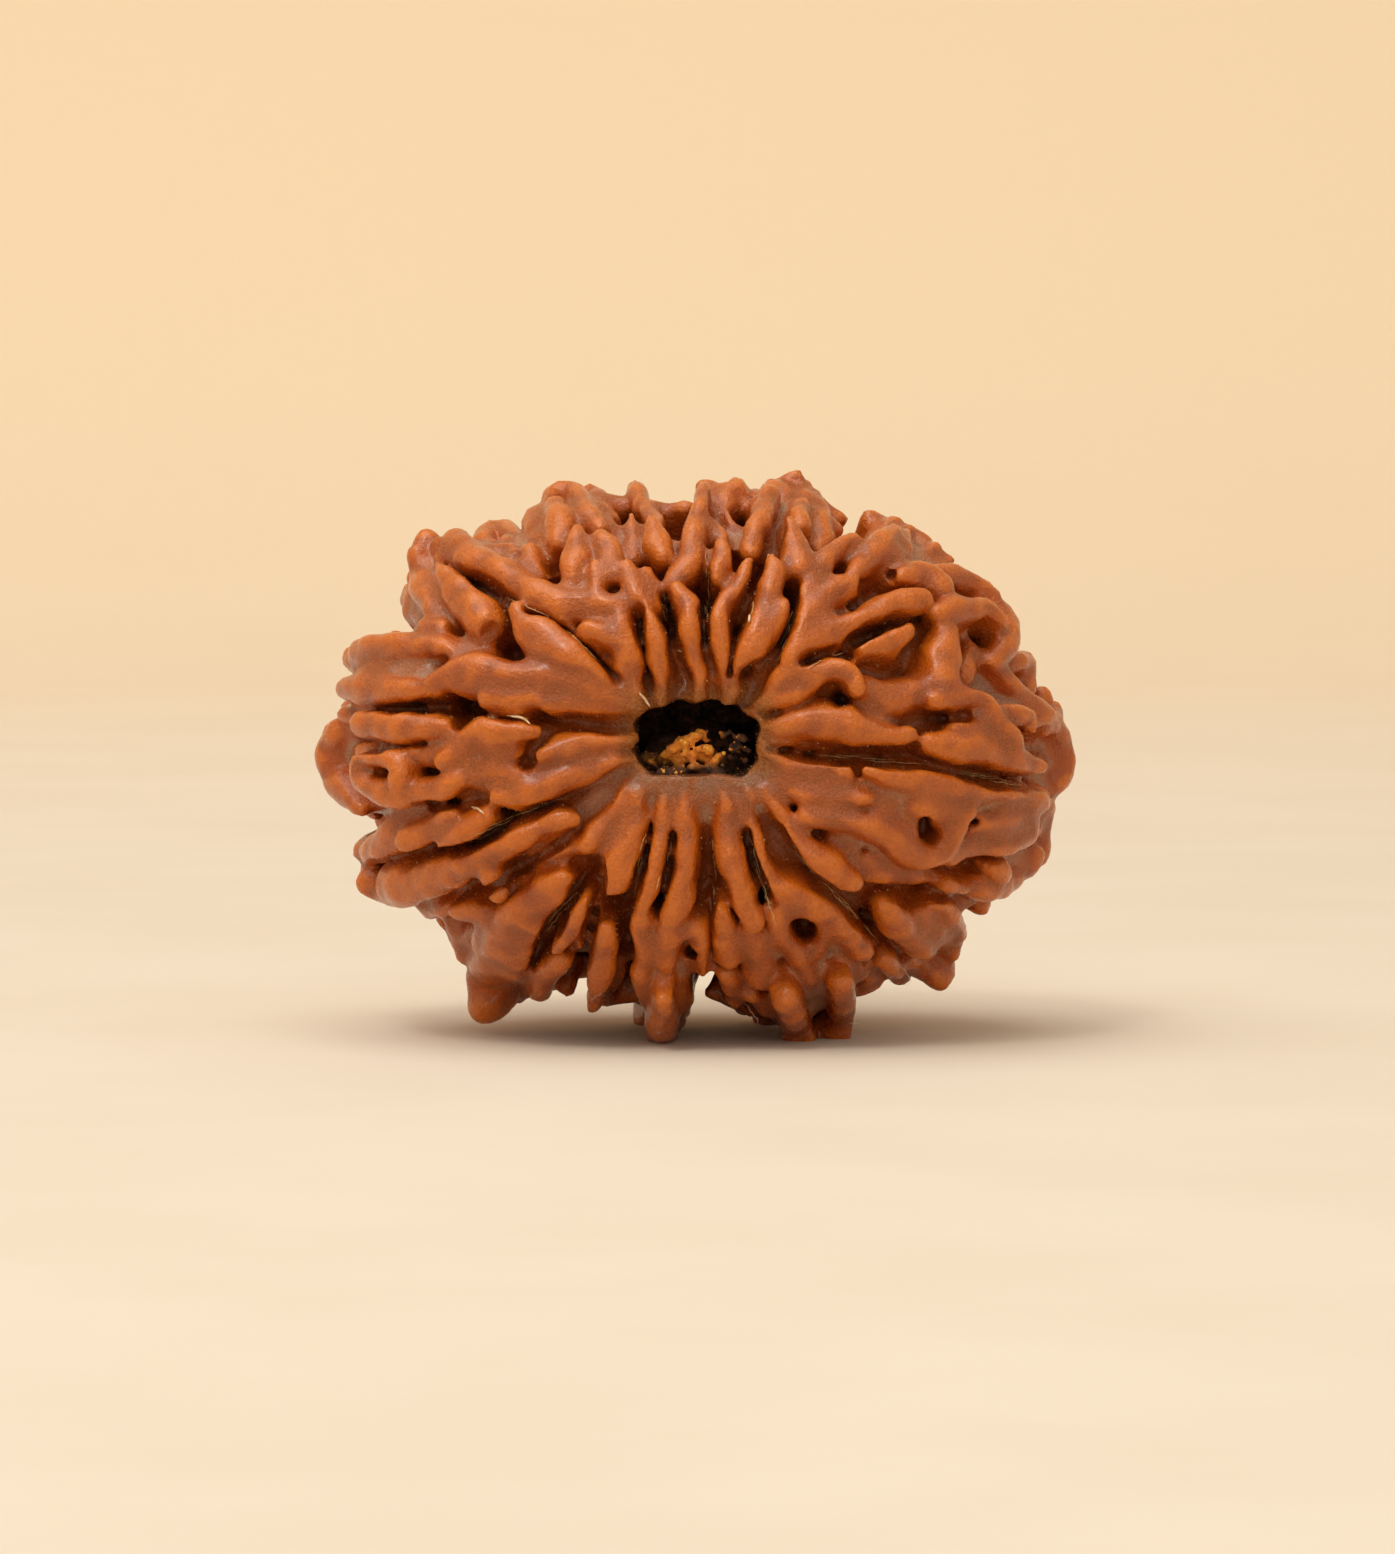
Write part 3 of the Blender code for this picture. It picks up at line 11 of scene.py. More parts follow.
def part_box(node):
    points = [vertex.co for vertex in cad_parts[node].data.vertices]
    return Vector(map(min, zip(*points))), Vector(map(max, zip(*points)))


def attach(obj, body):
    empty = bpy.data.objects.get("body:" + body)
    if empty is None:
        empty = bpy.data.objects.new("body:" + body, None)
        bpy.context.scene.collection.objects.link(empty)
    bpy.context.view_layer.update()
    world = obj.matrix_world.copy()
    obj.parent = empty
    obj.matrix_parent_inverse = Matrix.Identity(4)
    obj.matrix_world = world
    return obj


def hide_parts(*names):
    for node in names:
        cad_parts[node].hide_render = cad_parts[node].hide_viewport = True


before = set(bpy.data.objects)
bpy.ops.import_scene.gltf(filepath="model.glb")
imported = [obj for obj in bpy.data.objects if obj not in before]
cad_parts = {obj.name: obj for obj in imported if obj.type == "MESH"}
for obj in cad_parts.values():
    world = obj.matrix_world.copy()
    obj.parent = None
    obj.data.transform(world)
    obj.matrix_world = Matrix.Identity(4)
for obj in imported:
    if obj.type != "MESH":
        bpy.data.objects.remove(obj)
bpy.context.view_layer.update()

# Stone. The real one is the hard, woody kernel of one fruit, grown in lobes whose ridges end in fingers. It
# is one piece: body, ridges and fingers are fused into one skin, the eyes and the channel are opened in it,
# and the skin is then made uneven, as the washed and dried kernel is.
MM = 0.001
CREST_X = 16.3  # half width over the ridge crests, in millimetres as all sizes here
CREST_Z = 12.2  # half height over the ridge crests
BODY_X = 11.6  # half width of the valley floors
BODY_Y = 9.2  # half depth of the body, at the two mouths of the channel
BODY_Z = 8.2  # half height of the valley floors
CREST_Y = BODY_Y + 1.8  # half depth over the ridge crests
CENTRE_Z = -1.0  # middle of the body, measured up from the channel's axis
AXIS_HEIGHT = 13.3  # the channel's axis over the table
MOUTH_Y = -9.2  # the front mouth, to which the ridge points below are measured
VIEW_TILT = math.radians(4.0)  # the ridge points are read by an eye that looks down by this much
EYE = 350.0  # and that is this far from the mouth
ROOT_DEPTH = 2.0  # how far each ridge's root runs into the body
PLUMP = 0.12  # what softening takes off a ridge's half width, given back beforehand
FLARE = 0.12  # how much wider than its crest a ridge's root is, on each side
LEAN = 0.3  # how far a ridge's end leans out over its root, as a share of its height
TIP = 0.2  # how far a ridge's end runs on past its last point and half width
SHOULDER = 0.8  # the rounding of a ridge's top, where the ridge is wider than that
DIP = 1.0  # how far the valley floors lie back from the mouth's collar
SHOULDER_ARC = (0.0, 0.52, 1.05, math.pi / 2)
VOXEL = 0.15
OPENING_VOXEL = 0.1
SKIN_FACES = 176000
SEED = 17

# The lobes, counter-clockwise from the lower right: the angle in degrees about the channel of the seam that
# each starts at, and how far its web fills the space between the valley floor (0) and the crests (1).
LOBES = (
    (-32, 0.48),
    (-7, 0.50),
    (14, 0.48),
    (33, 0.42),
    (52, 0.24),
    (70, 0.18),
    (87, 0.12),
    (106, 0.18),
    (127, 0.42),
    (142, 0.46),
    (157, 0.50),
    (173, 0.52),
    (203, 0.45),
    (231, 0.28),
    (246, 0.18),
    (257, 0.12),
    (275, 0.14),
    (293, 0.22),
    (311, 0.42),
)
BACK_WEB = 0.45  # the share of that fill on the hidden side

# The channel's mouth: points (x, z) round it.
CHANNEL = (
    (-2.65, -0.3),
    (-2.48, 0.2),
    (-2.6, 0.6),
    (-2.05, 1.3),
    (-1.4, 1.38),
    (-0.8, 1.62),
    (-0.2, 1.52),
    (0.4, 1.7),
    (1.0, 1.48),
    (1.6, 1.42),
    (2.1, 1.0),
    (2.6, 0.75),
    (2.45, 0.0),
    (2.5, -0.8),
    (1.9, -1.5),
    (0.6, -1.4),
    (-0.8, -1.5),
    (-2.0, -1.4),
    (-2.4, -0.95),
)

# The ridges of the photographed face, lobe by lobe. Each is (drop, shift, points): drop is how far its crest
# lies under the crest shell, shift moves it towards the back, and each point is (x, z, half width).
RIDGES = {
    "upper left": (
        (0.0, 0.0, ((-10.4, 8.7, 0.65), (-9.5, 8.1, 0.62), (-8.5, 7.5, 0.6), (-7.5, 6.8, 0.6),
                    (-6.6, 6.3, 0.62), (-5.8, 6.0, 0.68), (-4.9, 6.0, 0.72), (-4.1, 5.9, 0.6),
                    (-3.6, 5.8, 0.45))),
        (0.1, 0.0, ((-3.5, 5.9, 0.42), (-3.3, 5.1, 0.48), (-3.1, 4.2, 0.45), (-2.95, 3.2, 0.42),
                    (-2.8, 2.4, 0.38), (-2.65, 1.9, 0.28))),
        (0.0, 0.0, ((-4.6, 4.8, 0.25), (-4.2, 4.75, 0.38), (-3.6, 4.5, 0.4))),
        (0.2, 1.4, ((-11.3, 8.5, 0.35), (-10.9, 8.1, 0.4))),
        (0.1, 1.0, ((-12.1, 7.6, 0.42), (-11.9, 7.0, 0.54), (-11.5, 6.2, 0.5), (-11.2, 5.5, 0.42))),
        (0.0, 0.0, ((-10.8, 7.5, 0.4), (-10.4, 6.9, 0.68), (-9.9, 6.3, 0.8), (-9.4, 5.7, 0.8),
                    (-9.1, 5.2, 0.65))),
        (0.3, 0.4, ((-11.8, 5.1, 0.28), (-11.2, 5.0, 0.34))),
        (0.6, 0.0, ((-11.4, 4.6, 0.3), (-10.4, 4.3, 0.35), (-9.4, 3.9, 0.4))),
        (0.0, 0.0, ((-7.6, 5.5, 0.3), (-7.2, 5.0, 0.62), (-6.6, 4.5, 0.85), (-5.8, 4.0, 0.85),
                    (-5.0, 3.5, 0.75), (-4.3, 2.9, 0.6), (-3.7, 2.3, 0.48), (-3.3, 1.7, 0.36))),
        (0.0, 0.0, ((-11.0, 2.6, 0.45), (-10.3, 2.85, 0.75), (-9.4, 2.9, 0.75), (-8.4, 2.8, 0.62),
                    (-7.4, 2.7, 0.6), (-6.4, 2.7, 0.6), (-5.4, 2.6, 0.58), (-4.6, 2.3, 0.5),
                    (-3.9, 1.8, 0.36))),
        (0.1, 0.0, ((-8.8, 1.85, 0.3), (-8.0, 1.8, 0.4), (-7.2, 1.8, 0.38), (-6.8, 1.85, 0.25))),
        (0.1, 0.0, ((-6.2, 1.65, 0.3), (-5.6, 1.65, 0.36), (-4.9, 1.55, 0.36), (-4.2, 1.35, 0.3))),
        (0.0, 0.2, ((-14.7, 3.9, 0.6), (-13.8, 4.1, 0.5), (-12.4, 4.15, 0.42), (-11.2, 4.2, 0.38),
                    (-10.5, 3.9, 0.3))),
        (0.5, 0.2, ((-15.0, 3.4, 0.5), (-14.3, 3.5, 0.95), (-13.2, 3.2, 1.0), (-12.1, 3.0, 0.85))),
        (0.0, 0.2, ((-15.2, 2.3, 0.52), (-14.2, 2.4, 0.5), (-13.0, 2.2, 0.42), (-11.9, 2.15, 0.4),
                    (-11.1, 2.3, 0.35))),
        (0.1, 1.6, ((-9.2, 8.6, 0.32), (-8.6, 8.4, 0.36), (-8.0, 8.4, 0.3), (-7.8, 8.1, 0.3))),
    ),
    "left": (
        (0.0, 0.0, ((-14.4, 0.7, 0.5), (-13.6, 0.7, 0.7), (-12.5, 0.65, 0.72), (-11.5, 0.6, 0.62),
                    (-11.0, 0.6, 0.4))),
        (0.0, 2.4, ((-15.6, 0.4, 0.6), (-16.0, -0.6, 0.75), (-15.5, -2.0, 0.75), (-14.6, -2.9, 0.5))),
        (0.0, 0.0, ((-14.6, -0.95, 0.26), (-14.5, -1.55, 0.36), (-13.8, -2.05, 0.4), (-12.8, -2.3, 0.42),
                    (-11.8, -2.3, 0.42), (-10.9, -2.1, 0.4), (-10.3, -1.7, 0.3))),
        (0.0, 0.0, ((-14.5, -0.8, 0.26), (-13.8, -0.75, 0.28), (-13.0, -0.85, 0.32), (-12.65, -1.4, 0.4),
                    (-12.6, -2.0, 0.36))),
        (0.45, 0.0, ((-13.4, -0.4, 0.3), (-12.4, -0.45, 0.48), (-11.5, -0.5, 0.5))),
        (0.0, 0.0, ((-10.85, -0.8, 0.3), (-10.2, -0.3, 0.5), (-9.5, 0.2, 0.6), (-8.8, 0.42, 0.55),
                    (-8.0, 0.48, 0.45), (-7.3, 0.45, 0.36), (-6.9, 0.4, 0.22))),
        (0.0, 0.0, ((-6.4, -0.55, 0.3), (-5.8, -0.35, 0.52), (-5.1, -0.15, 0.46), (-4.4, 0.0, 0.34),
                    (-3.8, 0.05, 0.2))),
        (0.0, 0.0, ((-8.5, -2.4, 0.35), (-7.8, -2.4, 0.5), (-6.9, -2.1, 0.5), (-6.0, -1.7, 0.46),
                    (-5.0, -1.35, 0.4), (-4.1, -1.0, 0.34), (-3.4, -0.8, 0.28))),
        (0.3, 0.0, ((-10.2, -1.2, 0.5), (-9.4, -1.4, 0.75), (-8.6, -1.5, 0.75), (-7.9, -1.6, 0.5))),
        (0.5, 0.0, ((-9.0, -0.5, 0.5), (-8.2, -0.4, 0.45))),
        (0.5, 0.0, ((-6.9, -1.3, 0.3), (-5.8, -1.0, 0.3), (-4.8, -0.8, 0.28))),
        (0.1, 0.0, ((-12.5, -4.35, 0.35), (-11.8, -4.0, 0.46), (-11.1, -3.6, 0.46), (-10.7, -3.3, 0.3))),
        (0.0, 0.0, ((-10.8, -4.35, 0.26), (-10.2, -4.05, 0.45), (-9.6, -3.75, 0.48), (-9.15, -3.4, 0.35))),
        (0.4, 0.6, ((-14.4, -5.1, 0.3), (-13.9, -4.7, 0.6), (-13.2, -4.3, 0.72), (-12.4, -3.9, 0.7),
                    (-11.6, -3.5, 0.5))),
        (1.2, 0.0, ((-13.5, -3.1, 0.4), (-12.0, -3.0, 0.5), (-10.5, -2.9, 0.5), (-9.6, -2.6, 0.5))),
    ),
    "lower left": (
        (0.0, 0.0, ((-13.9, -6.6, 0.5), (-13.2, -6.65, 0.8), (-12.3, -6.4, 0.78), (-11.4, -6.1, 0.75),
                    (-10.5, -5.8, 0.68), (-9.7, -5.4, 0.54), (-9.0, -5.0, 0.52), (-8.2, -4.5, 0.52),
                    (-7.3, -4.0, 0.5), (-6.4, -3.65, 0.46), (-5.6, -3.45, 0.42), (-5.3, -3.4, 0.3))),
        (0.0, 0.0, ((-9.0, -5.4, 0.46), (-8.75, -6.0, 0.48), (-8.65, -6.35, 0.36))),
        (0.3, 0.0, ((-10.4, -7.5, 0.38), (-9.7, -7.6, 0.42), (-9.0, -7.8, 0.5))),
        (0.9, 0.9, ((-11.7, -7.7, 0.45), (-11.1, -8.4, 0.5))),
        (0.8, 0.6, ((-10.8, -8.8, 0.55), (-10.1, -9.4, 0.62))),
        (0.0, 0.0, ((-9.1, -11.2, 0.68), (-8.8, -10.3, 1.0), (-8.3, -9.4, 1.1), (-7.9, -8.5, 1.05),
                    (-7.3, -7.7, 0.86), (-6.7, -7.0, 0.72), (-6.1, -6.3, 0.62), (-5.75, -6.0, 0.4))),
        (0.5, 0.0, ((-9.2, -8.4, 0.6), (-9.3, -9.4, 0.68))),
        (0.1, 0.0, ((-7.0, -11.0, 0.44), (-6.7, -10.6, 0.52), (-6.3, -10.1, 0.48), (-5.95, -9.7, 0.36))),
        (0.5, 2.0, ((-7.3, -10.2, 0.4), (-7.7, -11.1, 0.42))),
        (0.0, 0.0, ((-4.75, -7.0, 0.24), (-5.0, -7.4, 0.38), (-5.4, -8.1, 0.42), (-5.8, -8.7, 0.38),
                    (-5.95, -8.9, 0.24))),
        (0.0, 0.0, ((-3.9, -8.3, 0.36), (-3.95, -8.9, 0.45), (-4.1, -9.7, 0.42), (-4.3, -10.5, 0.36),
                    (-4.45, -11.2, 0.24), (-4.5, -11.5, 0.12))),
        (0.8, 0.0, ((-4.8, -8.2, 0.5), (-5.1, -9.2, 0.5))),
        (0.5, 1.8, ((-3.4, -10.0, 0.42), (-3.75, -10.8, 0.38))),
        (0.0, 0.0, ((-2.6, -2.5, 0.28), (-2.65, -3.2, 0.42), (-2.9, -4.0, 0.56), (-3.15, -4.8, 0.7),
                    (-3.4, -5.5, 0.8), (-3.55, -6.0, 0.62))),
        (0.1, 0.0, ((-3.25, -2.3, 0.22), (-3.5, -2.9, 0.34), (-3.9, -3.6, 0.42), (-4.4, -4.2, 0.44),
                    (-4.6, -4.4, 0.3))),
        (0.6, 0.0, ((-6.0, -4.9, 0.4), (-5.2, -4.8, 0.4))),
        (0.9, 0.0, ((-7.9, -6.8, 0.5), (-6.9, -5.7, 0.6))),
    ),
    "bottom": (
        (0.1, 0.0, ((-1.5, -2.7, 0.22), (-1.5, -3.4, 0.28), (-1.6, -4.3, 0.3), (-1.85, -5.3, 0.34),
                    (-2.1, -6.2, 0.36), (-2.3, -6.9, 0.3))),
        (0.1, 0.0, ((-2.4, -7.7, 0.36), (-2.4, -8.3, 0.45), (-2.25, -9.2, 0.38), (-2.3, -10.2, 0.36),
                    (-2.35, -10.9, 0.24), (-2.35, -11.3, 0.12))),
        (0.0, 0.0, ((-0.5, -3.1, 0.28), (-0.5, -3.8, 0.4), (-0.5, -4.8, 0.48), (-0.6, -5.8, 0.56),
                    (-0.75, -6.8, 0.62), (-0.95, -7.4, 0.5))),
        (0.0, 0.0, ((-1.2, -8.3, 0.38), (-1.3, -9.0, 0.42), (-1.3, -9.5, 0.36))),
        (0.0, 0.0, ((-1.4, -10.3, 0.36), (-1.3, -11.0, 0.42), (-1.4, -11.8, 0.38))),
        (0.3, 0.0, ((-0.9, -8.3, 0.4), (-0.2, -8.2, 0.35), (0.2, -8.7, 0.3), (0.25, -9.5, 0.3),
                    (0.25, -10.2, 0.26))),
        (0.8, 0.0, ((-0.5, -9.8, 0.5), (-0.3, -10.3, 0.4))),
        (-0.2, -2.0, ((-1.4, -11.2, 0.36), (-1.5, -12.1, 0.42), (-1.55, -13.3, 0.45))),
        (0.3, 0.4, ((-0.8, -10.6, 0.4), (-0.8, -11.6, 0.4), (-0.8, -12.5, 0.3))),
        (0.0, 0.0, ((1.3, -2.5, 0.26), (1.25, -3.4, 0.34), (1.35, -4.4, 0.4), (1.5, -5.4, 0.46),
                    (1.75, -6.3, 0.48), (2.1, -7.1, 0.44), (2.35, -7.7, 0.26))),
        (0.2, 0.0, ((0.95, -7.5, 0.22), (1.1, -8.0, 0.4), (1.3, -8.8, 0.46), (1.4, -9.5, 0.4))),
        (0.3, 0.0, ((1.3, -10.4, 0.3), (1.5, -11.0, 0.4), (1.6, -11.5, 0.25))),
        (0.1, 0.0, ((2.35, -8.4, 0.36), (2.6, -9.0, 0.48), (2.75, -9.8, 0.6), (2.75, -10.4, 0.56))),
        (0.1, 0.0, ((2.45, -11.1, 0.34), (3.0, -11.4, 0.5), (3.6, -11.9, 0.5), (4.0, -12.3, 0.36))),
        (-0.2, -2.0, ((3.8, -11.2, 0.4), (4.2, -12.1, 0.45), (4.4, -13.3, 0.5))),
        (0.0, 0.0, ((2.2, -2.3, 0.22), (2.2, -3.0, 0.28), (2.4, -4.0, 0.34), (2.6, -5.0, 0.4),
                    (2.9, -5.8, 0.44), (3.5, -6.4, 0.5), (4.3, -6.85, 0.56), (5.1, -7.3, 0.58),
                    (5.9, -7.9, 0.64), (6.6, -8.6, 0.64), (7.1, -9.2, 0.46))),
    ),
    "lower right": (
        (0.0, 0.0, ((2.85, -1.9, 0.22), (3.15, -2.5, 0.28), (3.6, -3.3, 0.34), (4.05, -4.1, 0.42),
                    (4.7, -4.8, 0.56), (5.4, -5.4, 0.68), (6.0, -5.8, 0.66), (6.5, -6.1, 0.4))),
        (0.1, 0.0, ((3.4, -7.4, 0.26), (3.5, -8.0, 0.34), (3.8, -8.8, 0.38), (4.4, -9.4, 0.48),
                    (4.8, -10.2, 0.64), (4.9, -11.0, 0.64), (4.9, -11.5, 0.42))),
        (0.2, 0.0, ((4.2, -7.4, 0.28), (4.9, -7.5, 0.3), (5.35, -8.0, 0.28), (5.4, -8.8, 0.3),
                    (5.1, -9.4, 0.34))),
        (0.8, 0.4, ((5.9, -9.4, 0.45), (5.9, -10.6, 0.5))),
        (0.3, 0.0, ((6.3, -9.2, 0.26), (6.7, -9.8, 0.34), (7.1, -10.3, 0.26))),
        (-0.2, -1.2, ((6.1, -10.4, 0.45), (6.2, -11.8, 0.5), (6.2, -13.2, 0.55))),
        (0.2, 0.0, ((8.1, -9.8, 0.36), (8.6, -10.15, 0.38))),
        (0.3, 0.4, ((9.3, -9.8, 0.42), (9.9, -10.3, 0.54), (10.1, -10.5, 0.46))),
        (0.0, 0.0, ((8.2, -7.3, 0.42), (8.5, -7.9, 0.6), (9.1, -8.6, 0.64), (9.8, -9.2, 0.5))),
        (0.3, 0.2, ((9.7, -7.9, 0.5), (10.3, -8.5, 0.65), (10.7, -9.1, 0.5))),
        (0.2, 0.5, ((10.4, -7.2, 0.32), (10.9, -7.7, 0.36), (11.3, -8.4, 0.34), (11.2, -9.1, 0.3))),
        (0.9, 0.0, ((6.4, -4.8, 0.7), (7.6, -5.5, 0.9), (8.8, -6.0, 0.9), (9.9, -6.2, 0.7))),
        (0.0, 0.0, ((4.7, -3.3, 0.4), (5.6, -3.35, 0.5), (6.6, -3.5, 0.46), (7.5, -3.8, 0.42),
                    (8.2, -4.2, 0.42), (8.8, -4.7, 0.46), (9.6, -5.0, 0.48), (10.4, -4.85, 0.46),
                    (10.8, -4.3, 0.42), (11.1, -3.6, 0.4), (11.4, -3.1, 0.36))),
        (0.15, 0.3, ((11.0, -4.9, 0.45), (12.2, -4.6, 0.6), (13.4, -4.4, 0.7), (14.3, -4.2, 0.6))),
        (0.3, 0.0, ((12.8, -5.4, 0.28), (13.2, -5.9, 0.28))),
        (0.2, 0.6, ((14.5, -5.4, 0.5), (13.4, -6.3, 0.5), (12.0, -6.4, 0.4))),
        (0.3, 0.2, ((10.9, -6.4, 0.3), (11.5, -6.55, 0.28))),
        (1.3, 0.8, ((11.6, -5.6, 0.6), (13.2, -5.6, 0.8))),
    ),
    "right": (
        (0.0, 0.0, ((3.2, 0.6, 0.3), (3.9, 0.65, 0.46), (4.8, 0.8, 0.66), (5.8, 0.8, 0.74),
                    (6.8, 0.62, 0.68), (7.6, 0.38, 0.48), (8.4, 0.25, 0.36), (9.0, 0.25, 0.3))),
        (0.0, 0.0, ((10.1, -0.1, 0.4), (10.8, -0.2, 0.6), (11.8, -0.3, 0.7), (12.7, -0.55, 0.62),
                    (13.5, -0.8, 0.52), (14.2, -1.0, 0.42), (14.6, -1.1, 0.26))),
        (0.0, 0.0, ((7.3, -1.3, 0.25), (8.0, -1.5, 0.42), (9.0, -1.75, 0.6), (10.0, -2.05, 0.68),
                    (11.0, -2.3, 0.68), (12.0, -2.25, 0.5), (13.0, -2.2, 0.42), (14.2, -2.4, 0.42),
                    (14.8, -2.7, 0.36))),
        (0.1, 0.0, ((9.5, -2.8, 0.5), (10.5, -3.0, 0.65), (11.1, -3.0, 0.5))),
        (0.1, 0.0, ((2.95, -0.4, 0.4), (3.6, -0.8, 0.66), (4.4, -1.3, 0.8), (5.2, -1.65, 0.78),
                    (5.9, -1.8, 0.6))),
        (0.0, 0.0, ((3.9, -2.0, 0.26), (4.6, -2.3, 0.36), (5.5, -2.4, 0.36), (6.4, -2.4, 0.32),
                    (6.95, -2.45, 0.2))),
        (0.0, 0.0, ((4.6, -0.95, 0.26), (5.6, -1.05, 0.26), (6.15, -1.25, 0.22))),
        (0.5, 0.0, ((7.3, -2.3, 0.45), (8.4, -2.7, 0.5), (9.2, -3.1, 0.4))),
        (0.3, 0.0, ((7.9, -3.4, 0.38), (9.0, -3.9, 0.34))),
        (0.4, 0.0, ((12.5, -3.6, 0.5), (13.4, -3.5, 0.85), (14.1, -3.4, 0.7))),
        (0.1, 0.2, ((14.2, -2.7, 0.4), (14.35, -3.4, 0.42), (14.3, -4.1, 0.4))),
        (0.0, 2.4, ((15.5, 0.7, 0.6), (15.8, -0.5, 0.6), (15.6, -1.7, 0.6))),
        (0.0, 2.2, ((15.2, -3.0, 0.6), (15.0, -4.6, 0.6))),
    ),
    "upper right": (
        (0.0, 0.0, ((9.5, 6.1, 0.32), (8.9, 6.0, 0.52), (8.0, 5.6, 0.56), (7.0, 5.1, 0.58),
                    (6.0, 4.75, 0.62), (5.1, 4.55, 0.6), (4.5, 4.1, 0.44), (4.0, 3.5, 0.28))),
        (0.0, 0.0, ((6.5, 6.8, 0.32), (5.9, 6.6, 0.58), (5.2, 6.1, 0.6), (4.8, 5.5, 0.48),
                    (4.4, 4.9, 0.36))),
        (0.5, 0.0, ((6.7, 6.2, 0.3), (8.0, 6.3, 0.3))),
        (0.0, 0.0, ((8.4, 9.1, 0.32), (8.0, 8.7, 0.5), (7.5, 8.1, 0.6), (7.0, 7.5, 0.48),
                    (6.6, 7.1, 0.26))),
        (0.1, 0.5, ((8.5, 9.2, 0.26), (8.55, 8.6, 0.28), (8.4, 7.9, 0.24))),
        (0.1, 0.9, ((8.95, 9.1, 0.24), (9.0, 8.5, 0.26), (8.9, 7.9, 0.24))),
        (0.1, 0.0, ((8.9, 7.2, 0.46), (9.6, 7.3, 0.6), (10.2, 6.9, 0.54))),
        (0.1, 0.6, ((10.4, 7.4, 0.4), (11.2, 7.3, 0.52), (11.9, 7.0, 0.46), (12.5, 6.5, 0.32))),
        (0.0, 0.0, ((10.4, 5.5, 0.26), (11.0, 5.7, 0.46), (11.8, 5.75, 0.46), (12.4, 5.7, 0.44),
                    (12.9, 5.3, 0.34))),
        (0.2, 1.0, ((12.6, 6.2, 0.5), (13.3, 5.3, 0.55), (13.3, 4.4, 0.5), (12.9, 3.7, 0.45))),
        (0.0, 0.0, ((7.2, 4.0, 0.36), (7.9, 4.25, 0.6), (8.6, 4.5, 0.6), (8.9, 4.65, 0.4))),
        (0.1, 0.0, ((10.7, 4.6, 0.62), (10.65, 4.1, 0.95), (10.5, 3.4, 0.8), (10.5, 2.8, 0.85))),
        (0.0, 0.0, ((4.8, 2.6, 0.3), (5.3, 3.0, 0.36), (6.0, 3.1, 0.34), (6.6, 2.8, 0.32),
                    (6.8, 2.3, 0.28))),
        (0.0, 0.0, ((3.5, 2.75, 0.26), (4.0, 2.9, 0.34), (4.6, 3.15, 0.24))),
        (0.1, 0.0, ((3.5, 1.85, 0.24), (4.2, 2.1, 0.28), (4.8, 2.4, 0.22))),
        (0.4, 0.0, ((10.2, 2.5, 0.5), (9.2, 2.1, 0.72), (8.2, 1.9, 0.8), (7.5, 2.2, 0.6))),
        (0.0, 0.0, ((10.2, 1.75, 0.3), (11.0, 1.9, 0.36), (11.8, 1.9, 0.4), (12.35, 1.7, 0.4),
                    (12.6, 1.1, 0.4), (13.0, 0.5, 0.42), (13.5, -0.1, 0.4))),
        (0.3, 0.0, ((11.4, 0.6, 0.5), (12.3, 0.3, 0.6))),
        (0.1, 0.3, ((13.2, 1.3, 0.3), (13.8, 1.2, 0.42), (14.35, 1.15, 0.38), (14.3, 0.7, 0.26))),
        (0.0, 2.0, ((12.9, 3.0, 0.45), (13.7, 2.2, 0.5), (14.8, 1.4, 0.5), (15.4, 0.7, 0.5))),
        (0.9, 0.8, ((12.2, 4.4, 0.5), (12.1, 3.4, 0.45))),
    ),
    "top": (
        (0.0, 0.6, ((0.3, 10.9, 0.26), (0.15, 10.2, 0.34), (-0.1, 9.4, 0.4), (-0.15, 8.4, 0.44),
                    (-0.25, 7.7, 0.42), (-0.7, 7.1, 0.4), (-1.0, 6.7, 0.3))),
        (0.0, 0.0, ((-0.85, 6.4, 0.32), (-0.5, 5.9, 0.4), (-0.4, 5.2, 0.38), (-0.3, 4.3, 0.34),
                    (-0.1, 3.4, 0.3), (0.1, 2.7, 0.26))),
        (0.0, 0.0, ((2.2, 7.5, 0.18), (2.05, 7.1, 0.3), (1.7, 6.5, 0.36), (1.25, 6.1, 0.36),
                    (1.0, 5.5, 0.32), (0.95, 4.6, 0.3), (1.1, 3.8, 0.3), (1.2, 3.1, 0.26))),
        (0.0, 0.0, ((3.25, 7.8, 0.18), (3.3, 7.3, 0.36), (3.1, 6.6, 0.42), (2.8, 5.9, 0.42),
                    (2.6, 5.2, 0.4), (2.4, 4.6, 0.38), (1.9, 3.7, 0.34), (1.5, 3.1, 0.28))),
        (0.0, 0.0, ((4.1, 6.0, 0.15), (3.8, 5.8, 0.3), (3.3, 5.3, 0.4), (2.9, 4.7, 0.38),
                    (2.5, 4.1, 0.34))),
        (0.1, 0.0, ((1.0, 8.4, 0.2), (1.05, 8.1, 0.34), (1.0, 7.6, 0.36), (0.88, 7.2, 0.24))),
        (0.1, 1.2, ((0.8, 9.4, 0.18), (0.95, 9.0, 0.28), (1.1, 8.6, 0.26))),
        (0.1, 2.2, ((1.2, 10.0, 0.15), (1.35, 9.5, 0.28), (1.6, 9.1, 0.38), (1.7, 8.6, 0.4))),
        (0.0, 0.4, ((3.1, 10.7, 0.36), (2.85, 10.2, 0.46), (2.7, 9.5, 0.46), (2.4, 9.0, 0.4),
                    (2.3, 8.4, 0.36), (2.25, 8.1, 0.26))),
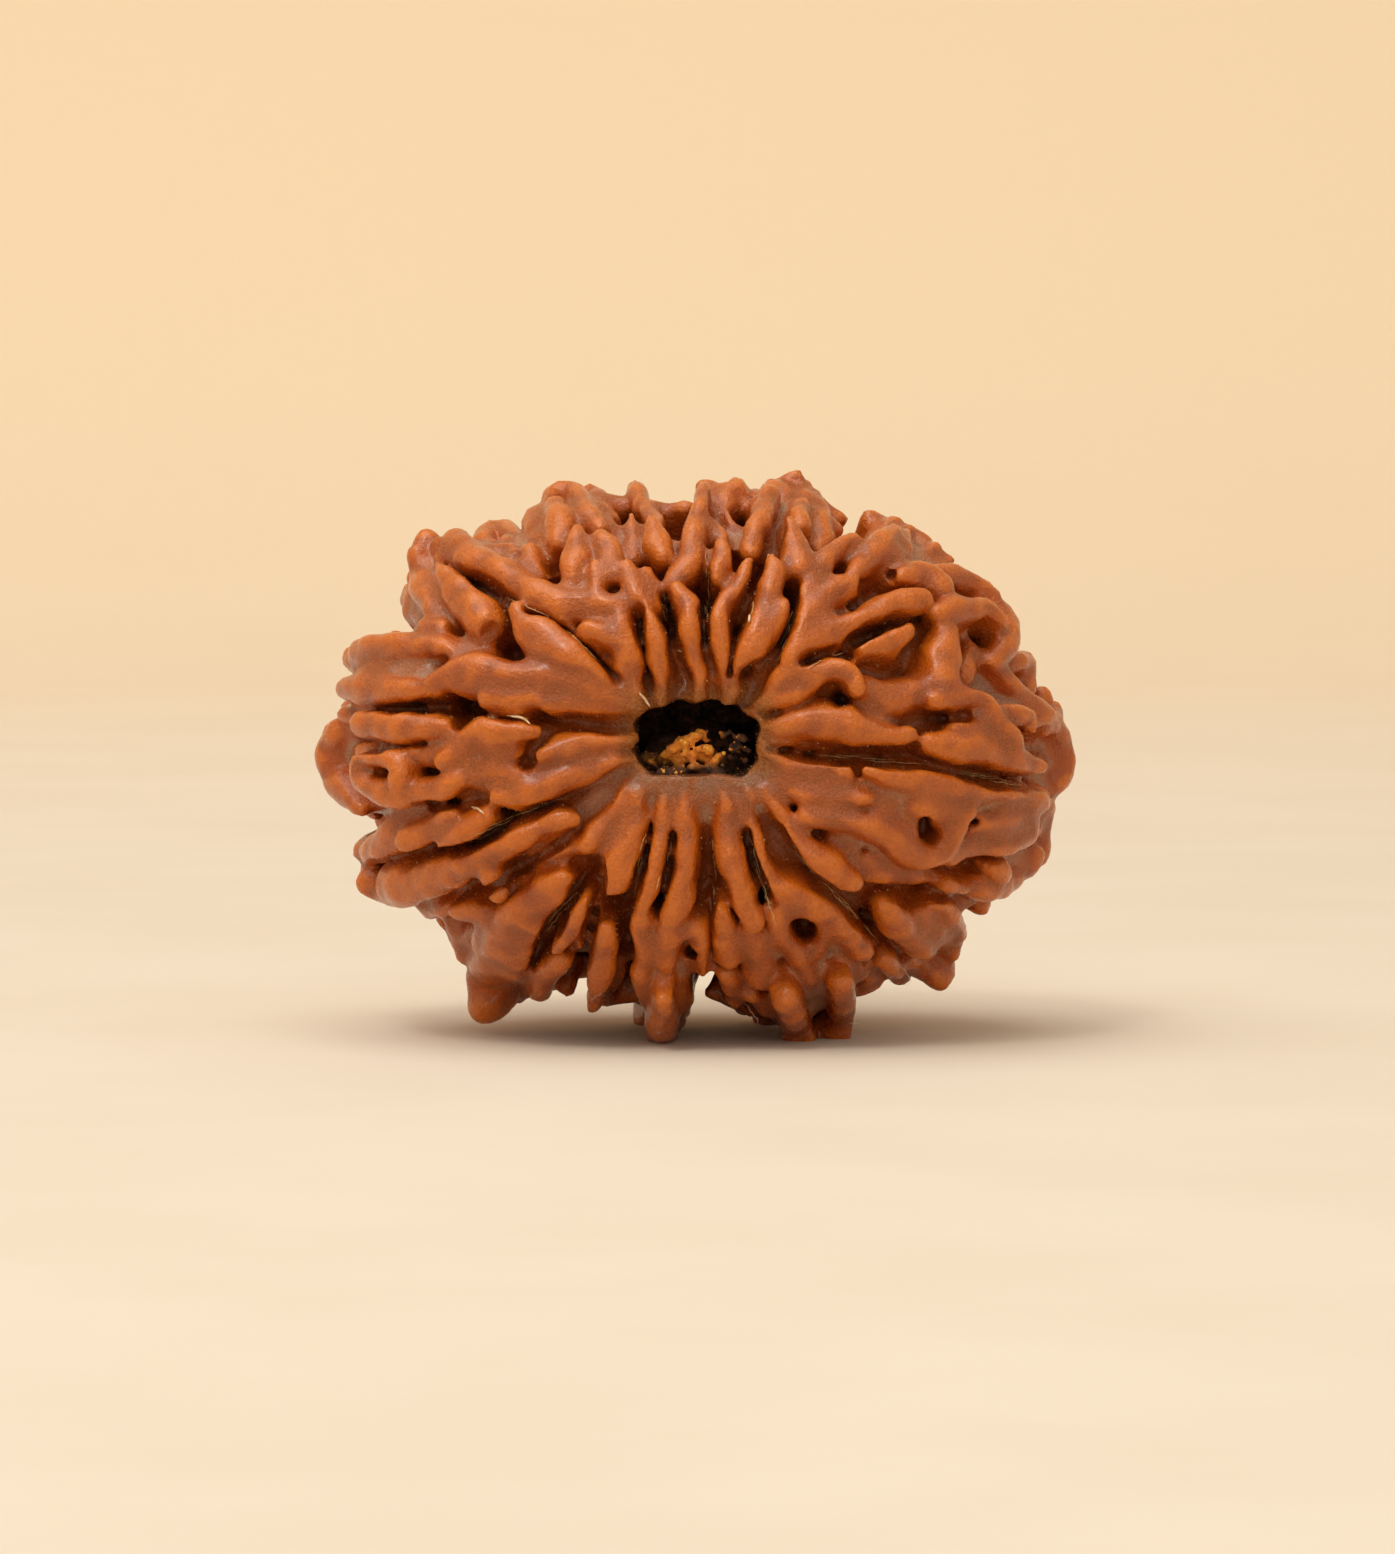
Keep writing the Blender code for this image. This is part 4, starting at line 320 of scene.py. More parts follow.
        (0.1, 1.6, ((4.0, 11.5, 0.28), (3.7, 11.4, 0.32), (3.2, 11.0, 0.28))),
        (0.1, 2.0, ((4.5, 11.1, 0.28), (4.55, 10.5, 0.34))),
        (0.1, 1.2, ((4.4, 10.3, 0.34), (4.3, 9.8, 0.4), (4.4, 9.3, 0.34))),
        (0.1, 2.4, ((5.1, 10.6, 0.28), (5.25, 10.1, 0.38), (5.2, 9.5, 0.38), (5.4, 8.8, 0.36),
                    (5.2, 8.4, 0.36))),
        (0.0, 0.0, ((3.9, 9.3, 0.22), (4.0, 8.95, 0.46), (4.15, 8.5, 0.6), (4.25, 8.0, 0.62),
                    (4.3, 7.7, 0.45))),
        (0.1, 0.0, ((6.6, 8.7, 0.28), (6.1, 8.45, 0.34), (5.6, 8.0, 0.38), (5.2, 7.5, 0.38),
                    (4.9, 7.0, 0.34), (4.7, 6.6, 0.24))),
        (0.0, 0.0, ((-2.15, 5.7, 0.2), (-2.05, 5.35, 0.34), (-1.9, 4.8, 0.34), (-1.7, 4.2, 0.3),
                    (-1.6, 3.5, 0.28), (-1.5, 2.8, 0.26))),
        (0.0, 0.0, ((-3.0, 7.4, 0.22), (-2.9, 7.0, 0.4), (-2.75, 6.6, 0.44), (-2.6, 6.3, 0.32))),
        (0.4, 0.0, ((-2.2, 7.4, 0.18), (-2.1, 6.8, 0.28), (-1.9, 6.1, 0.24))),
        (0.1, 0.6, ((-1.95, 9.5, 0.18), (-1.85, 9.1, 0.33), (-1.65, 8.5, 0.36), (-1.5, 8.1, 0.28))),
        (0.4, 2.4, ((-1.1, 8.7, 0.3), (-0.8, 8.3, 0.45))),
        (0.0, 2.2, ((-2.8, 9.6, 0.12), (-2.75, 9.1, 0.26), (-2.7, 8.5, 0.36), (-2.8, 8.0, 0.42))),
        (0.2, 2.2, ((-3.35, 8.6, 0.22), (-3.1, 8.1, 0.36))),
        (0.0, 2.4, ((-4.0, 10.0, 0.14), (-3.8, 9.5, 0.26), (-3.6, 8.9, 0.3))),
        (0.0, 0.2, ((-4.1, 8.8, 0.22), (-3.95, 8.5, 0.36), (-3.75, 8.0, 0.4), (-3.65, 7.5, 0.34),
                    (-3.75, 7.1, 0.22))),
        (0.0, 0.9, ((-5.9, 10.8, 0.28), (-5.4, 10.9, 0.3), (-4.9, 10.4, 0.38), (-4.6, 9.8, 0.4),
                    (-4.3, 9.3, 0.36))),
        (0.1, 0.5, ((-6.1, 10.3, 0.28), (-6.0, 9.9, 0.5), (-5.9, 9.2, 0.5), (-5.9, 8.8, 0.38))),
        (0.1, 2.0, ((-6.3, 10.7, 0.24), (-6.5, 10.2, 0.34), (-6.5, 9.4, 0.38))),
        (0.2, 1.8, ((-7.1, 10.0, 0.36), (-7.1, 9.4, 0.5), (-6.7, 8.6, 0.55), (-6.5, 8.1, 0.46))),
        (0.0, 0.0, ((-5.1, 9.1, 0.2), (-5.1, 8.75, 0.48), (-5.2, 8.2, 0.68), (-5.3, 7.7, 0.66),
                    (-5.3, 7.3, 0.45))),
        (0.3, 0.8, ((-7.2, 8.3, 0.28), (-7.2, 7.9, 0.46), (-6.9, 7.4, 0.44))),
        (0.0, 0.0, ((-4.3, 7.4, 0.14), (-4.3, 7.1, 0.27), (-4.3, 6.7, 0.27), (-4.3, 6.4, 0.14))),
    ),
}

# The narrow clefts in the seams between the lobes: (depth, half width, the points (x, z) along it).
CLEFTS = (
    (2.4, 0.16, ((2.9, -0.3), (5.4, -0.65), (7.2, -0.85), (9.1, -1.0), (11.0, -1.4))),
    (2.2, 0.22, ((10.8, -1.35), (12.2, -1.6), (13.6, -1.75), (15.4, -1.9))),
    (2.6, 0.22, ((3.2, -3.6), (4.2, -5.2), (5.4, -6.4), (6.6, -7.3), (8.0, -9.0))),
    (2.2, 0.16, ((2.0, -3.6), (2.3, -5.0), (2.8, -6.4), (3.3, -7.2))),
    (2.4, 0.16, ((0.45, -3.6), (0.55, -5.2), (0.65, -6.8), (0.6, -8.4), (0.55, -10.4))),
    (2.2, 0.15, ((-1.05, -3.8), (-1.2, -5.2), (-1.5, -6.6), (-1.75, -7.6))),
    (2.4, 0.16, ((-1.95, -3.4), (-2.2, -5.0), (-2.6, -6.3), (-3.1, -7.6), (-3.1, -9.6))),
    (2.6, 0.22, ((-4.6, -5.6), (-5.4, -6.9), (-6.3, -8.2), (-7.2, -10.0))),
    (2.2, 0.17, ((-4.2, -5.0), (-4.3, -6.6), (-4.6, -8.0), (-5.0, -10.2))),
    (2.4, 0.18, ((-14.2, -5.4), (-11.6, -4.95), (-9.6, -4.5), (-7.6, -3.35), (-5.4, -2.4), (-3.9, -1.7))),
    (2.4, 0.2, ((-11.6, -7.3), (-10.0, -6.8), (-8.4, -6.2), (-6.9, -5.2), (-5.4, -4.2))),
    (2.2, 0.2, ((-14.8, 1.5), (-13.0, 1.45), (-11.2, 1.55), (-9.9, 1.35))),
    (1.8, 0.14, ((-9.9, 1.3), (-8.4, 0.98), (-6.8, 0.85), (-5.2, 0.75), (-4.0, 0.6))),
    (2.0, 0.15, ((-14.6, -0.25), (-13.0, -0.3), (-11.6, -0.1), (-10.9, -0.05))),
    (2.2, 0.18, ((-12.2, -2.95), (-10.6, -2.75), (-9.4, -2.6))),
    (2.4, 0.16, ((-7.4, 5.6), (-6.0, 5.1), (-4.8, 4.1), (-3.9, 3.2), (-3.2, 2.4))),
    (2.4, 0.2, ((-11.0, 7.9), (-9.6, 7.1), (-8.5, 6.4), (-7.9, 5.8))),
    (2.4, 0.14, ((-2.5, 6.0), (-2.5, 4.9), (-2.3, 3.7), (-2.1, 2.9))),
    (2.6, 0.18, ((-1.5, 6.6), (-1.25, 5.7), (-1.1, 4.4), (-0.85, 3.2))),
    (2.4, 0.16, ((0.35, 8.4), (0.4, 7.0), (0.3, 5.4), (0.4, 3.6))),
    (2.4, 0.15, ((2.5, 8.0), (2.35, 6.8), (1.8, 5.4), (1.55, 4.2), (1.4, 3.2), (1.3, 2.5))),
    (2.6, 0.18, ((4.15, 6.6), (4.1, 5.4), (3.6, 4.3), (3.0, 3.2))),
    (2.2, 0.15, ((6.0, 4.0), (5.0, 3.65), (4.2, 3.25))),
    (2.6, 0.22, ((6.3, 4.1), (7.6, 4.85), (9.0, 5.35), (10.2, 5.0))),
    (2.4, 0.18, ((6.2, 5.6), (7.0, 6.2), (8.0, 6.6), (9.4, 6.6))),
    (2.2, 0.2, ((3.4, 7.6), (3.4, 8.8), (3.4, 10.0))),
    (2.2, 0.17, ((9.6, 1.05), (10.8, 1.0), (11.8, 1.15))),
    (2.2, 0.2, ((7.0, -6.3), (8.6, -6.7), (10.2, -6.9), (11.6, -7.0))),
    (2.2, 0.18, ((11.3, -5.4), (12.8, -5.2), (14.4, -4.95))),
)

# The deeper pits and eyes between the ridges: (x, z, half width, half height, depth).
PITS = (
    (-8.7, 4.5, 0.75, 0.85, 0.7),
    (-10.9, 3.6, 0.3, 0.25, 0.9),
    (-6.5, 1.9, 0.22, 0.3, 0.9),
    (-13.35, -1.3, 0.4, 0.2, 1.3),
    (-11.6, -1.4, 0.42, 0.34, 1.5),
    (-13.8, -0.3, 0.16, 0.16, 1.0),
    (-7.4, -0.9, 0.4, 0.4, 1.2),
    (-4.5, -0.6, 0.16, 0.12, 0.8),
    (-7.6, -5.6, 0.6, 0.45, 1.6),
    (-9.6, -6.4, 0.3, 0.4, 1.4),
    (-9.3, -7.1, 0.3, 0.2, 1.4),
    (-0.6, -7.95, 0.4, 0.12, 1.0),
    (-0.25, -9.5, 0.34, 0.36, 1.8),
    (4.75, -8.4, 0.26, 0.62, 2.0),
    (6.1, -8.9, 0.25, 0.2, 1.8),
    (9.9, -3.6, 0.34, 0.34, 1.6),
    (11.3, -2.2, 0.2, 0.24, 1.4),
    (11.9, -3.6, 0.42, 0.26, 1.2),
    (7.2, -4.8, 0.3, 0.24, 1.2),
    (10.8, -5.8, 0.3, 0.16, 1.2),
    (13.4, -5.2, 0.4, 0.18, 1.4),
    (9.1, -7.1, 0.45, 0.26, 1.0),
    (6.15, 1.75, 0.45, 0.3, 1.3),
    (10.6, 0.95, 0.4, 0.18, 1.4),
    (11.7, 3.2, 0.22, 0.4, 1.6),
    (8.4, 7.4, 0.22, 0.26, 1.4),
    (7.2, 6.8, 0.4, 0.24, 1.2),
    (-1.1, 4.75, 0.28, 0.26, 1.4),
)


def smooth_step(share):
    """From 0 to 1 with soft ends."""
    held = min(max(share, 0.0), 1.0)
    return held * held * (3.0 - 2.0 * held)


def rise(rho):
    """How much further out than the body's mouth the crest shell stands, by distance from the axis."""
    return 0.55 + 1.35 * smooth_step((rho - 0.2) / 0.35)


def outward(point):
    """The crest shell's outward direction at a point."""
    slope = Vector((point.x / CREST_X**2, point.y / CREST_Y**2, (point.z - CENTRE_Z) / CREST_Z**2))
    return slope.normalized()


def front_point(x, z, drop, shift):
    """The place on the crest shell that the photographed point (x, z) lies at, and how far out it is."""
    y = 0.0
    for _ in range(4):
        behind = y + shift - MOUTH_Y
        wider = 1.0 + behind / EYE
        side = x * wider
        height = (z * wider - behind * math.sin(VIEW_TILT)) / math.cos(VIEW_TILT)
        rho = math.hypot(side / CREST_X, (height - CENTRE_Z) / CREST_Z)
        held = min(rho, 0.995)
        y = -(BODY_Y + rise(held)) * math.sqrt(1.0 - held * held)
    point = Vector((side, y + shift, height))
    return point - outward(point) * drop, rho


def smooth_run(points, step):
    """The same run with more points on it, as a Catmull-Rom curve."""
    run = []
    last = len(points) - 1
    for i in range(last):
        a = points[max(i - 1, 0)]
        b = points[i]
        c = points[i + 1]
        d = points[min(i + 2, last)]
        count = max(1, math.ceil(math.dist(b[:2], c[:2]) / step))
        for k in range(count):
            t = k / count
            place = []
            for p, q, r, s in zip(a, b, c, d):
                bend = (2 * p - 5 * q + 4 * r - s) * t**2 + (3 * q - p - 3 * r + s) * t**3
                place.append(q + 0.5 * ((r - p) * t + bend))
            run.append(tuple(place))
    run.append(points[-1])
    return run


def uneven(point, size):
    """A smooth random value from about -1 to 1 that changes over this many millimetres."""
    return noise.noise(point / size + Vector((SEED, 0.0, 0.0)))


def add_blade(build, centres, widths, depths):
    """Adds one closed ridge: a round-topped wall that follows its crest, is wider at the root and leans out
    at its two ends, as the fingers on the real stone do. Where it points straight out it is a finger."""
    length = sum((b - a).length for a, b in zip(centres, centres[1:]))
    start = (centres[0] - centres[1]).normalized()
    finish = (centres[-1] - centres[-2]).normalized()
    run = [
        (centres[0] + start * (widths[0] + TIP), widths[0] * 0.35, widths[0] * 0.8, depths[0]),
        (centres[0] + start * (widths[0] * 0.6 + TIP), widths[0] * 0.85, widths[0] * 0.22, depths[0]),
    ]
    run += [(c, w, 0.0, d) for c, w, d in zip(centres, widths, depths)]
    run += [
        (centres[-1] + finish * (widths[-1] * 0.6 + TIP), widths[-1] * 0.85, widths[-1] * 0.22, depths[-1]),
        (centres[-1] + finish * (widths[-1] + TIP), widths[-1] * 0.35, widths[-1] * 0.8, depths[-1]),
    ]
    rings = []
    gone = 0.0
    for i, (centre, width, sink, depth) in enumerate(run):
        gone += (centre - run[max(i - 1, 0)][0]).length
        left = length + widths[0] + widths[-1] + 2.0 * TIP - gone
        along = run[min(i + 1, len(run) - 1)][0] - run[max(i - 1, 0)][0]
        up = outward(centre)
        facing = along.normalized().dot(up) ** 2
        depth = depth * (1.0 - facing) + 2.6 * width * facing
        if centre.y < 3.0:
            up += Vector((0.0, -0.35, 0.0))
        up = (up - along * (up.dot(along) / along.length_squared)).normalized()
        side = along.cross(up).normalized()
        width = (width + PLUMP) * (1.0 + 0.16 * uneven(centre, 1.4))
        top = centre - up * (sink + 0.25 * max(uneven(centre, 2.1), -0.4))
        lean = min(LEAN * depth, 0.42 * length)
        pull = start * lean * max(1.0 - gone / 2.2, 0.0) + finish * lean * max(1.0 - left / 2.2, 0.0)
        foot = width + FLARE
        section = [(-foot, -1.0), (-0.5 * (foot + width), -0.5)]
        bend = min(width, SHOULDER)
        edge = [(width - bend + bend * math.cos(a), bend * (math.sin(a) - 1.0) / depth) for a in SHOULDER_ARC]
        section += [(-across, over) for across, over in edge] + [(0.0, 0.05 * bend / depth)] + edge[::-1]
        section += [(0.5 * (foot + width), -0.5), (foot, -1.0)]
        ring = []
        for across, over in section:
            ring.append(build.verts.new((top + side * across + (up * depth + pull) * over) * MM))
        rings.append(ring)
    size = len(rings[0])
    for one, two in zip(rings, rings[1:]):
        for k in range(size):
            build.faces.new((one[k], one[(k + 1) % size], two[(k + 1) % size], two[k]))
    build.faces.new(reversed(rings[0]))
    build.faces.new(rings[-1])


def root_depth(point):
    """The depth a ridge needs at this crest point to end inside the body."""
    reach = Vector((point.x / BODY_X, point.y / BODY_Y, (point.z - CENTRE_Z) / BODY_Z)).length
    over = max(reach - 1.0, 0.0) / max(reach, 0.1) * point.length
    return over + ROOT_DEPTH


def add_ellipsoid(build, centre, radii, rings):
    made = bmesh.ops.create_icosphere(build, subdivisions=rings, radius=1.0)
    for vert in made["verts"]:
        vert.co = (centre + Vector((vert.co.x * radii[0], vert.co.y * radii[1], vert.co.z * radii[2]))) * MM


def web_share(x, z):
    """How far the body rises from valley floor to crest, this way from the channel: none at a seam."""
    angle = math.degrees(math.atan2(z, x)) % 360
    seams = sorted((start % 360, fill) for start, fill in LOBES)
    seams.append((seams[0][0] + 360, seams[0][1]))
    if angle < seams[0][0]:
        angle += 360
    for (low, fill), (high, _) in zip(seams, seams[1:]):
        if low <= angle <= high:
            across = abs(2.0 * (angle - low) / (high - low) - 1.0)
            return fill * (1.0 - across**5) - 0.16 * across**10
    return 0.0


def add_body(build):
    """The body under the ridges: an ellipsoid whose lobes swell between the seams."""
    made = bmesh.ops.create_uvsphere(build, u_segments=240, v_segments=90, radius=1.0)
    for vert in made["verts"]:
        side, up, along = vert.co
        out = min(math.hypot(side, up), 1.0)
        dip = DIP * smooth_step((out - 0.17) / 0.30)
        low = Vector((side * BODY_X, -along * (BODY_Y - dip), up * BODY_Z + CENTRE_Z))
        high = Vector((side * CREST_X, -along * (BODY_Y + rise(out)), up * CREST_Z + CENTRE_Z))
        share = web_share(low.x, low.z) * min(out * 1.8, 1.0)
        if share > 0.0:
            share *= 1.0 - (1.0 - BACK_WEB) * min(max(low.y / 4.0, 0.0), 1.0)
        vert.co = low.lerp(high, share) * MM


def run_to_mouth(placed):
    """Carries a ridge that ends by the mouth on to the mouth's edge, ever lower and narrower."""
    point, rho, width = placed[-1]
    edge = Vector((min(max(point.x, -2.3), 2.3), point.y, min(max(point.z, -1.3), 1.3)))
    if not 0.4 < (edge - point).length < 2.7:
        return placed
    further = []
    for share, sink, narrow in ((0.4, 0.2, 0.9), (0.8, 0.42, 0.7)):
        further.append((point.lerp(edge, share) + Vector((0.0, sink, 0.0)), rho, width * narrow))
    return placed + further


def add_front_ridges(build):
    """The ridges of the photographed face. Returns the ends that reach the bead's edge, for the back."""
    ends = []
    for rows in RIDGES.values():
        for drop, shift, points in rows:
            placed = [front_point(x, z, drop, shift) + (w,) for x, z, w in smooth_run(points, 0.55)]
            placed = run_to_mouth(run_to_mouth(placed)[::-1])
            centres = [point for point, rho, w in placed]
            add_blade(build, centres, [w for point, rho, w in placed], [root_depth(c) for c in centres])
            for (point, rho, width) in (placed[0], placed[-1]):
                if rho > 0.84 and drop < 0.6:
                    ends.append((point, rho, width))
    return ends


def add_openings(build):
    """What is cut out of the face: a thin wedge along each cleft, and an egg shape for each pit."""
    for depth, half, points in CLEFTS:
        places = [front_point(x, z, 0.0, 0.0)[0] for x, z in smooth_run(points, 0.4)]
        rings = []
        for i, place in enumerate(places):
            along = places[min(i + 1, len(places) - 1)] - places[max(i - 1, 0)]
            up = (outward(place) + Vector((0.0, -0.6, 0.0))).normalized()
            side = along.cross(up).normalized()
            full = math.sin(math.pi * (i + 0.5) / len(places)) ** 0.5
            wide = half * (0.5 + 0.5 * full) * (1.0 + 0.25 * uneven(place, 1.1))
            low = place - up * depth * (0.4 + 0.6 * full)
            high = place + up
            brim = side * wide * 2.2
            foot = side * wide * 0.7
            section = (high - brim, low - foot, low + foot, high + brim)
            rings.append([build.verts.new(p * MM) for p in section])
        for one, two in zip(rings, rings[1:]):
            for k in range(4):
                build.faces.new((one[k], one[(k + 1) % 4], two[(k + 1) % 4], two[k]))
        build.faces.new(reversed(rings[0]))
        build.faces.new(rings[-1])
    for x, z, wide, high, deep in PITS:
        place = front_point(x, z, 0.0, 0.0)[0]
        add_ellipsoid(build, place - outward(place) * deep * 0.5, (wide, deep, high), 2)


def add_back_ridges(build, ends):
    """Carries the ridges that reach the edge over to the back, towards the far mouth, with side fingers.
    A ridge that ends in a seam stops there, so that the seam stays open."""
    draw = random.Random(SEED)
    for point, rho, width in ends:
        if web_share(point.x, point.z) < 0.10:
            continue
        turn = math.atan2((point.z - CENTRE_Z) / CREST_Z, point.x / CREST_X)
        start = math.asin(max(min(point.y / CREST_Y, 0.5), -0.5))
        stop = math.radians(draw.choice((34, 48, 62, 74)))
        bend = draw.uniform(-0.10, 0.10)
        wave = draw.uniform(2.2, 3.4)
        phase = draw.uniform(0.0, 6.28)
        reach = min(max(rho + 0.03, 0.92), 1.06)
        centres = []
        widths = []
        count = 12
        for k in range(count):
            t = k / (count - 1)
            lat = start + (stop - start) * t
            far = math.cos(lat)
            sunk = 0.055 * max(1.0 - t * 5.0, 0.0) + 0.03 * (1.0 + math.sin(wave * 6.28 * t + phase))
            scale = reach + (1.0 - reach) * min(t * 1.6, 1.0) - sunk
            yaw = turn + bend * math.sin(t * 4.4) * t + 0.012 * math.sin(9.0 * t + phase)
            centres.append(
                Vector(
                    (
                        CREST_X * scale * far * math.cos(yaw),
                        (BODY_Y + rise(far)) * (1.0 - sunk) * math.sin(lat),
                        CREST_Z * scale * far * math.sin(yaw) + CENTRE_Z,
                    )
                )
            )
            widths.append(min(max(0.8 * width * (1.0 - 0.35 * t), 0.3), 0.65))
        add_blade(build, centres, widths, [root_depth(c) for c in centres])
        for k in (3, 6, 8):
            if draw.random() < 0.6:
                back = centres[k - 1] - centres[k]
                away = outward(centres[k]).cross(back).normalized() * draw.choice((-1, 1))
                tip = centres[k] + away * draw.uniform(0.8, 1.5) + back * draw.uniform(0.1, 0.8)
                tip = tip - outward(tip) * draw.uniform(0.0, 0.5)
                add_blade(build, [centres[k], (centres[k] + tip) / 2, tip], [0.4, 0.4, 0.35], [2.0, 2.0, 2.0])


def add_feet(build):
    """Two low tips behind, hidden in the photo, that with the front tips make the bead stand."""
    for x, y, width in ((-2.0, 4.4, 0.7), (3.2, 4.6, 0.7)):
        low = -AXIS_HEIGHT - 0.6
        course = ((0.9, 1.6, 1.5), (1.0, 0.4, 0.2), (1.0, -0.4, 0.15), (0.9, -1.8, 0.9))
        centres = [Vector((x * share, y + back, low + up)) for share, back, up in course]
        add_blade(build, centres, [width * 0.7, width, width, width * 0.7], [root_depth(c) for c in centres])


def as_object(name, build, collection):
    bmesh.ops.recalc_face_normals(build, faces=build.faces)
    mesh = bpy.data.meshes.new(name)
    build.to_mesh(mesh)
    build.free()
    made = bpy.data.objects.new(name, mesh)
    collection.objects.link(made)
    return made


def bake(made):
    """Swaps the object's mesh for what its modifiers make of it."""
    bpy.context.view_layer.update()
    graph = bpy.context.evaluated_depsgraph_get()
    mesh = bpy.data.meshes.new_from_object(made.evaluated_get(graph))
    made.modifiers.clear()
    made.data = mesh


def keep_largest_shell(made):
    """Keeps the one shell with the most faces, and drops specks and closed hollows that fusing leaves."""
    build = bmesh.new()
    build.from_mesh(made.data)
    left = set(build.faces)
    shells = []
    while left:
        todo = [left.pop()]
        shell = []
        while todo:
            face = todo.pop()
            shell.append(face)
            for edge in face.edges:
                for other in edge.link_faces:
                    if other in left:
                        left.remove(other)
                        todo.append(other)
        shells.append(shell)
    shells.sort(key=len)
    bmesh.ops.delete(build, geom=[face for shell in shells[:-1] for face in shell], context="FACES")
    build.to_mesh(made.data)
    build.free()


def channel_prism(name, inset, low, high, collection):
    """A bar with the channel's outline, inset all round, from low to high along Y."""
    build = bmesh.new()
    loop = smooth_run(CHANNEL + CHANNEL[:1], 0.5)[:-1]
    rings = []
    for y in (low, high):
        ring = []
        for x, z in loop:
            share = 1.0 - inset / math.hypot(x, z)
            ring.append(build.verts.new(Vector((x * share, y, z * share)) * MM))
        rings.append(ring)
    size = len(loop)
    for k in range(size):
        build.faces.new((rings[0][k], rings[0][(k + 1) % size], rings[1][(k + 1) % size], rings[1][k]))
    build.faces.new(reversed(rings[0]))
    build.faces.new(rings[1])
    return as_object(name, build, collection)


def cut(made, other, operation):
    boolean = made.modifiers.new(operation.title() + " " + other.name, "BOOLEAN")
    boolean.solver = "EXACT"
    boolean.operation = operation
    boolean.object = other
    bake(made)


def fuse(made, voxel, many=False):
    """Fuses overlapping shapes into one skin, or into one for each group of them where there are many."""
    remesh = made.modifiers.new("Fuse", "REMESH")
    remesh.mode = "VOXEL"
    remesh.voxel_size = voxel * MM
    bake(made)
    if not many:
        keep_largest_shell(made)


def weather(made, rough):
    """Makes the skin uneven, in broad swells and small bumps, as grown wood is."""
    mesh = made.data
    moved = []
    for vert in mesh.vertices:
        place = vert.co / MM
        calm = min(max((math.hypot(place.x, place.z) - 2.6) / 1.5, 0.15), 1.0)
        swell = rough * calm * (uneven(place, 2.3) + 0.4 * uneven(place, 0.8))
        moved.append(vert.co + vert.normal * swell * MM)
    for vert, place in zip(mesh.vertices, moved):
        vert.co = place


def soften_and_reduce(made, rounds, faces):
    """Softens the skin and brings it to the wanted number of triangles."""
    soften = made.modifiers.new("Soften", "SMOOTH")
    soften.factor = 0.5
    soften.iterations = rounds
    bake(made)
    reduce = made.modifiers.new("Reduce", "DECIMATE")
    reduce.ratio = min(faces / (2.0 * len(made.data.polygons)), 1.0)
    reduce.use_collapse_triangulate = True
    bake(made)



room = bpy.context.scene.collection
shape = bmesh.new()
add_body(shape)
edge_ends = add_front_ridges(shape)
add_back_ridges(shape, edge_ends)
add_feet(shape)
stone = as_object("stone", shape, room)
fuse(stone, VOXEL)

shape = bmesh.new()
add_openings(shape)
eyes = as_object("openings", shape, room)
fuse(eyes, OPENING_VOXEL, True)
cut(stone, eyes, "DIFFERENCE")
channel = channel_prism("channel", 0.0, -20.0, 20.0, room)
cut(stone, channel, "DIFFERENCE")
fuse(stone, VOXEL)
weather(stone, 0.28)
soften_and_reduce(stone, 4, SKIN_FACES)
shape = bmesh.new()
bmesh.ops.create_cube(shape, size=1.0)
for vert in shape.verts:
    vert.co = Vector((vert.co.x * 60, vert.co.y * 60, vert.co.z * 10 - AXIS_HEIGHT - 5)) * MM
table_top = as_object("table top", shape, room)
cut(stone, table_top, "DIFFERENCE")
keep_largest_shell(stone)
for helper in (eyes, channel, table_top):
    bpy.data.objects.remove(helper, do_unlink=True)

# Fine creases run from the ridges' roots over the collar and into the mouth.
creased = []
for vert in stone.data.vertices:
    place = vert.co / MM
    away = math.hypot(max(abs(place.x) - 2.1, 0.0), max(abs(place.z) - 1.1, 0.0))
    depth = 0.3 * max(1.0 - abs(away - 0.9) / 1.6, 0.0) if place.y < -7.6 and away > 0.25 else 0.0
    turn = math.atan2(place.z, place.x)
    course = Vector((5.5 * math.cos(turn), 5.5 * math.sin(turn), away * 0.5))
    creased.append(vert.co + vert.normal * depth * (uneven(course, 1.0) - 0.2) * MM)
for vert, place in zip(stone.data.vertices, creased):
    vert.co = place

# The finished skin is moved to where the solid stands.
points = np.array([v.co for v in stone.data.vertices])
solid_low, solid_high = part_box("bead")
middle = (points.min(0) + points.max(0)) / 2
solid_x = (solid_low.x + solid_high.x) / 2
solid_y = (solid_low.y + solid_high.y) / 2
centring = Vector((solid_x - middle[0], solid_y - middle[1], AXIS_HEIGHT * MM))
stone.data.transform(Matrix.Translation(centring))
stone.data.polygons.foreach_set("use_smooth", [True] * len(stone.data.polygons))
mouth = Vector((0.0, MOUTH_Y * MM, 0.0)) + centring


def skin_arrays(mesh):
    """The mesh's points, normals and edges as arrays."""
    count = len(mesh.vertices)
    points = np.empty(count * 3)
    normals = np.empty(count * 3)
    edges = np.empty(len(mesh.edges) * 2, int)
    mesh.vertices.foreach_get("co", points)
    mesh.vertex_normals.foreach_get("vector", normals)
    mesh.edges.foreach_get("vertices", edges)
    return points.reshape(-1, 3), normals.reshape(-1, 3), edges.reshape(-1, 2)


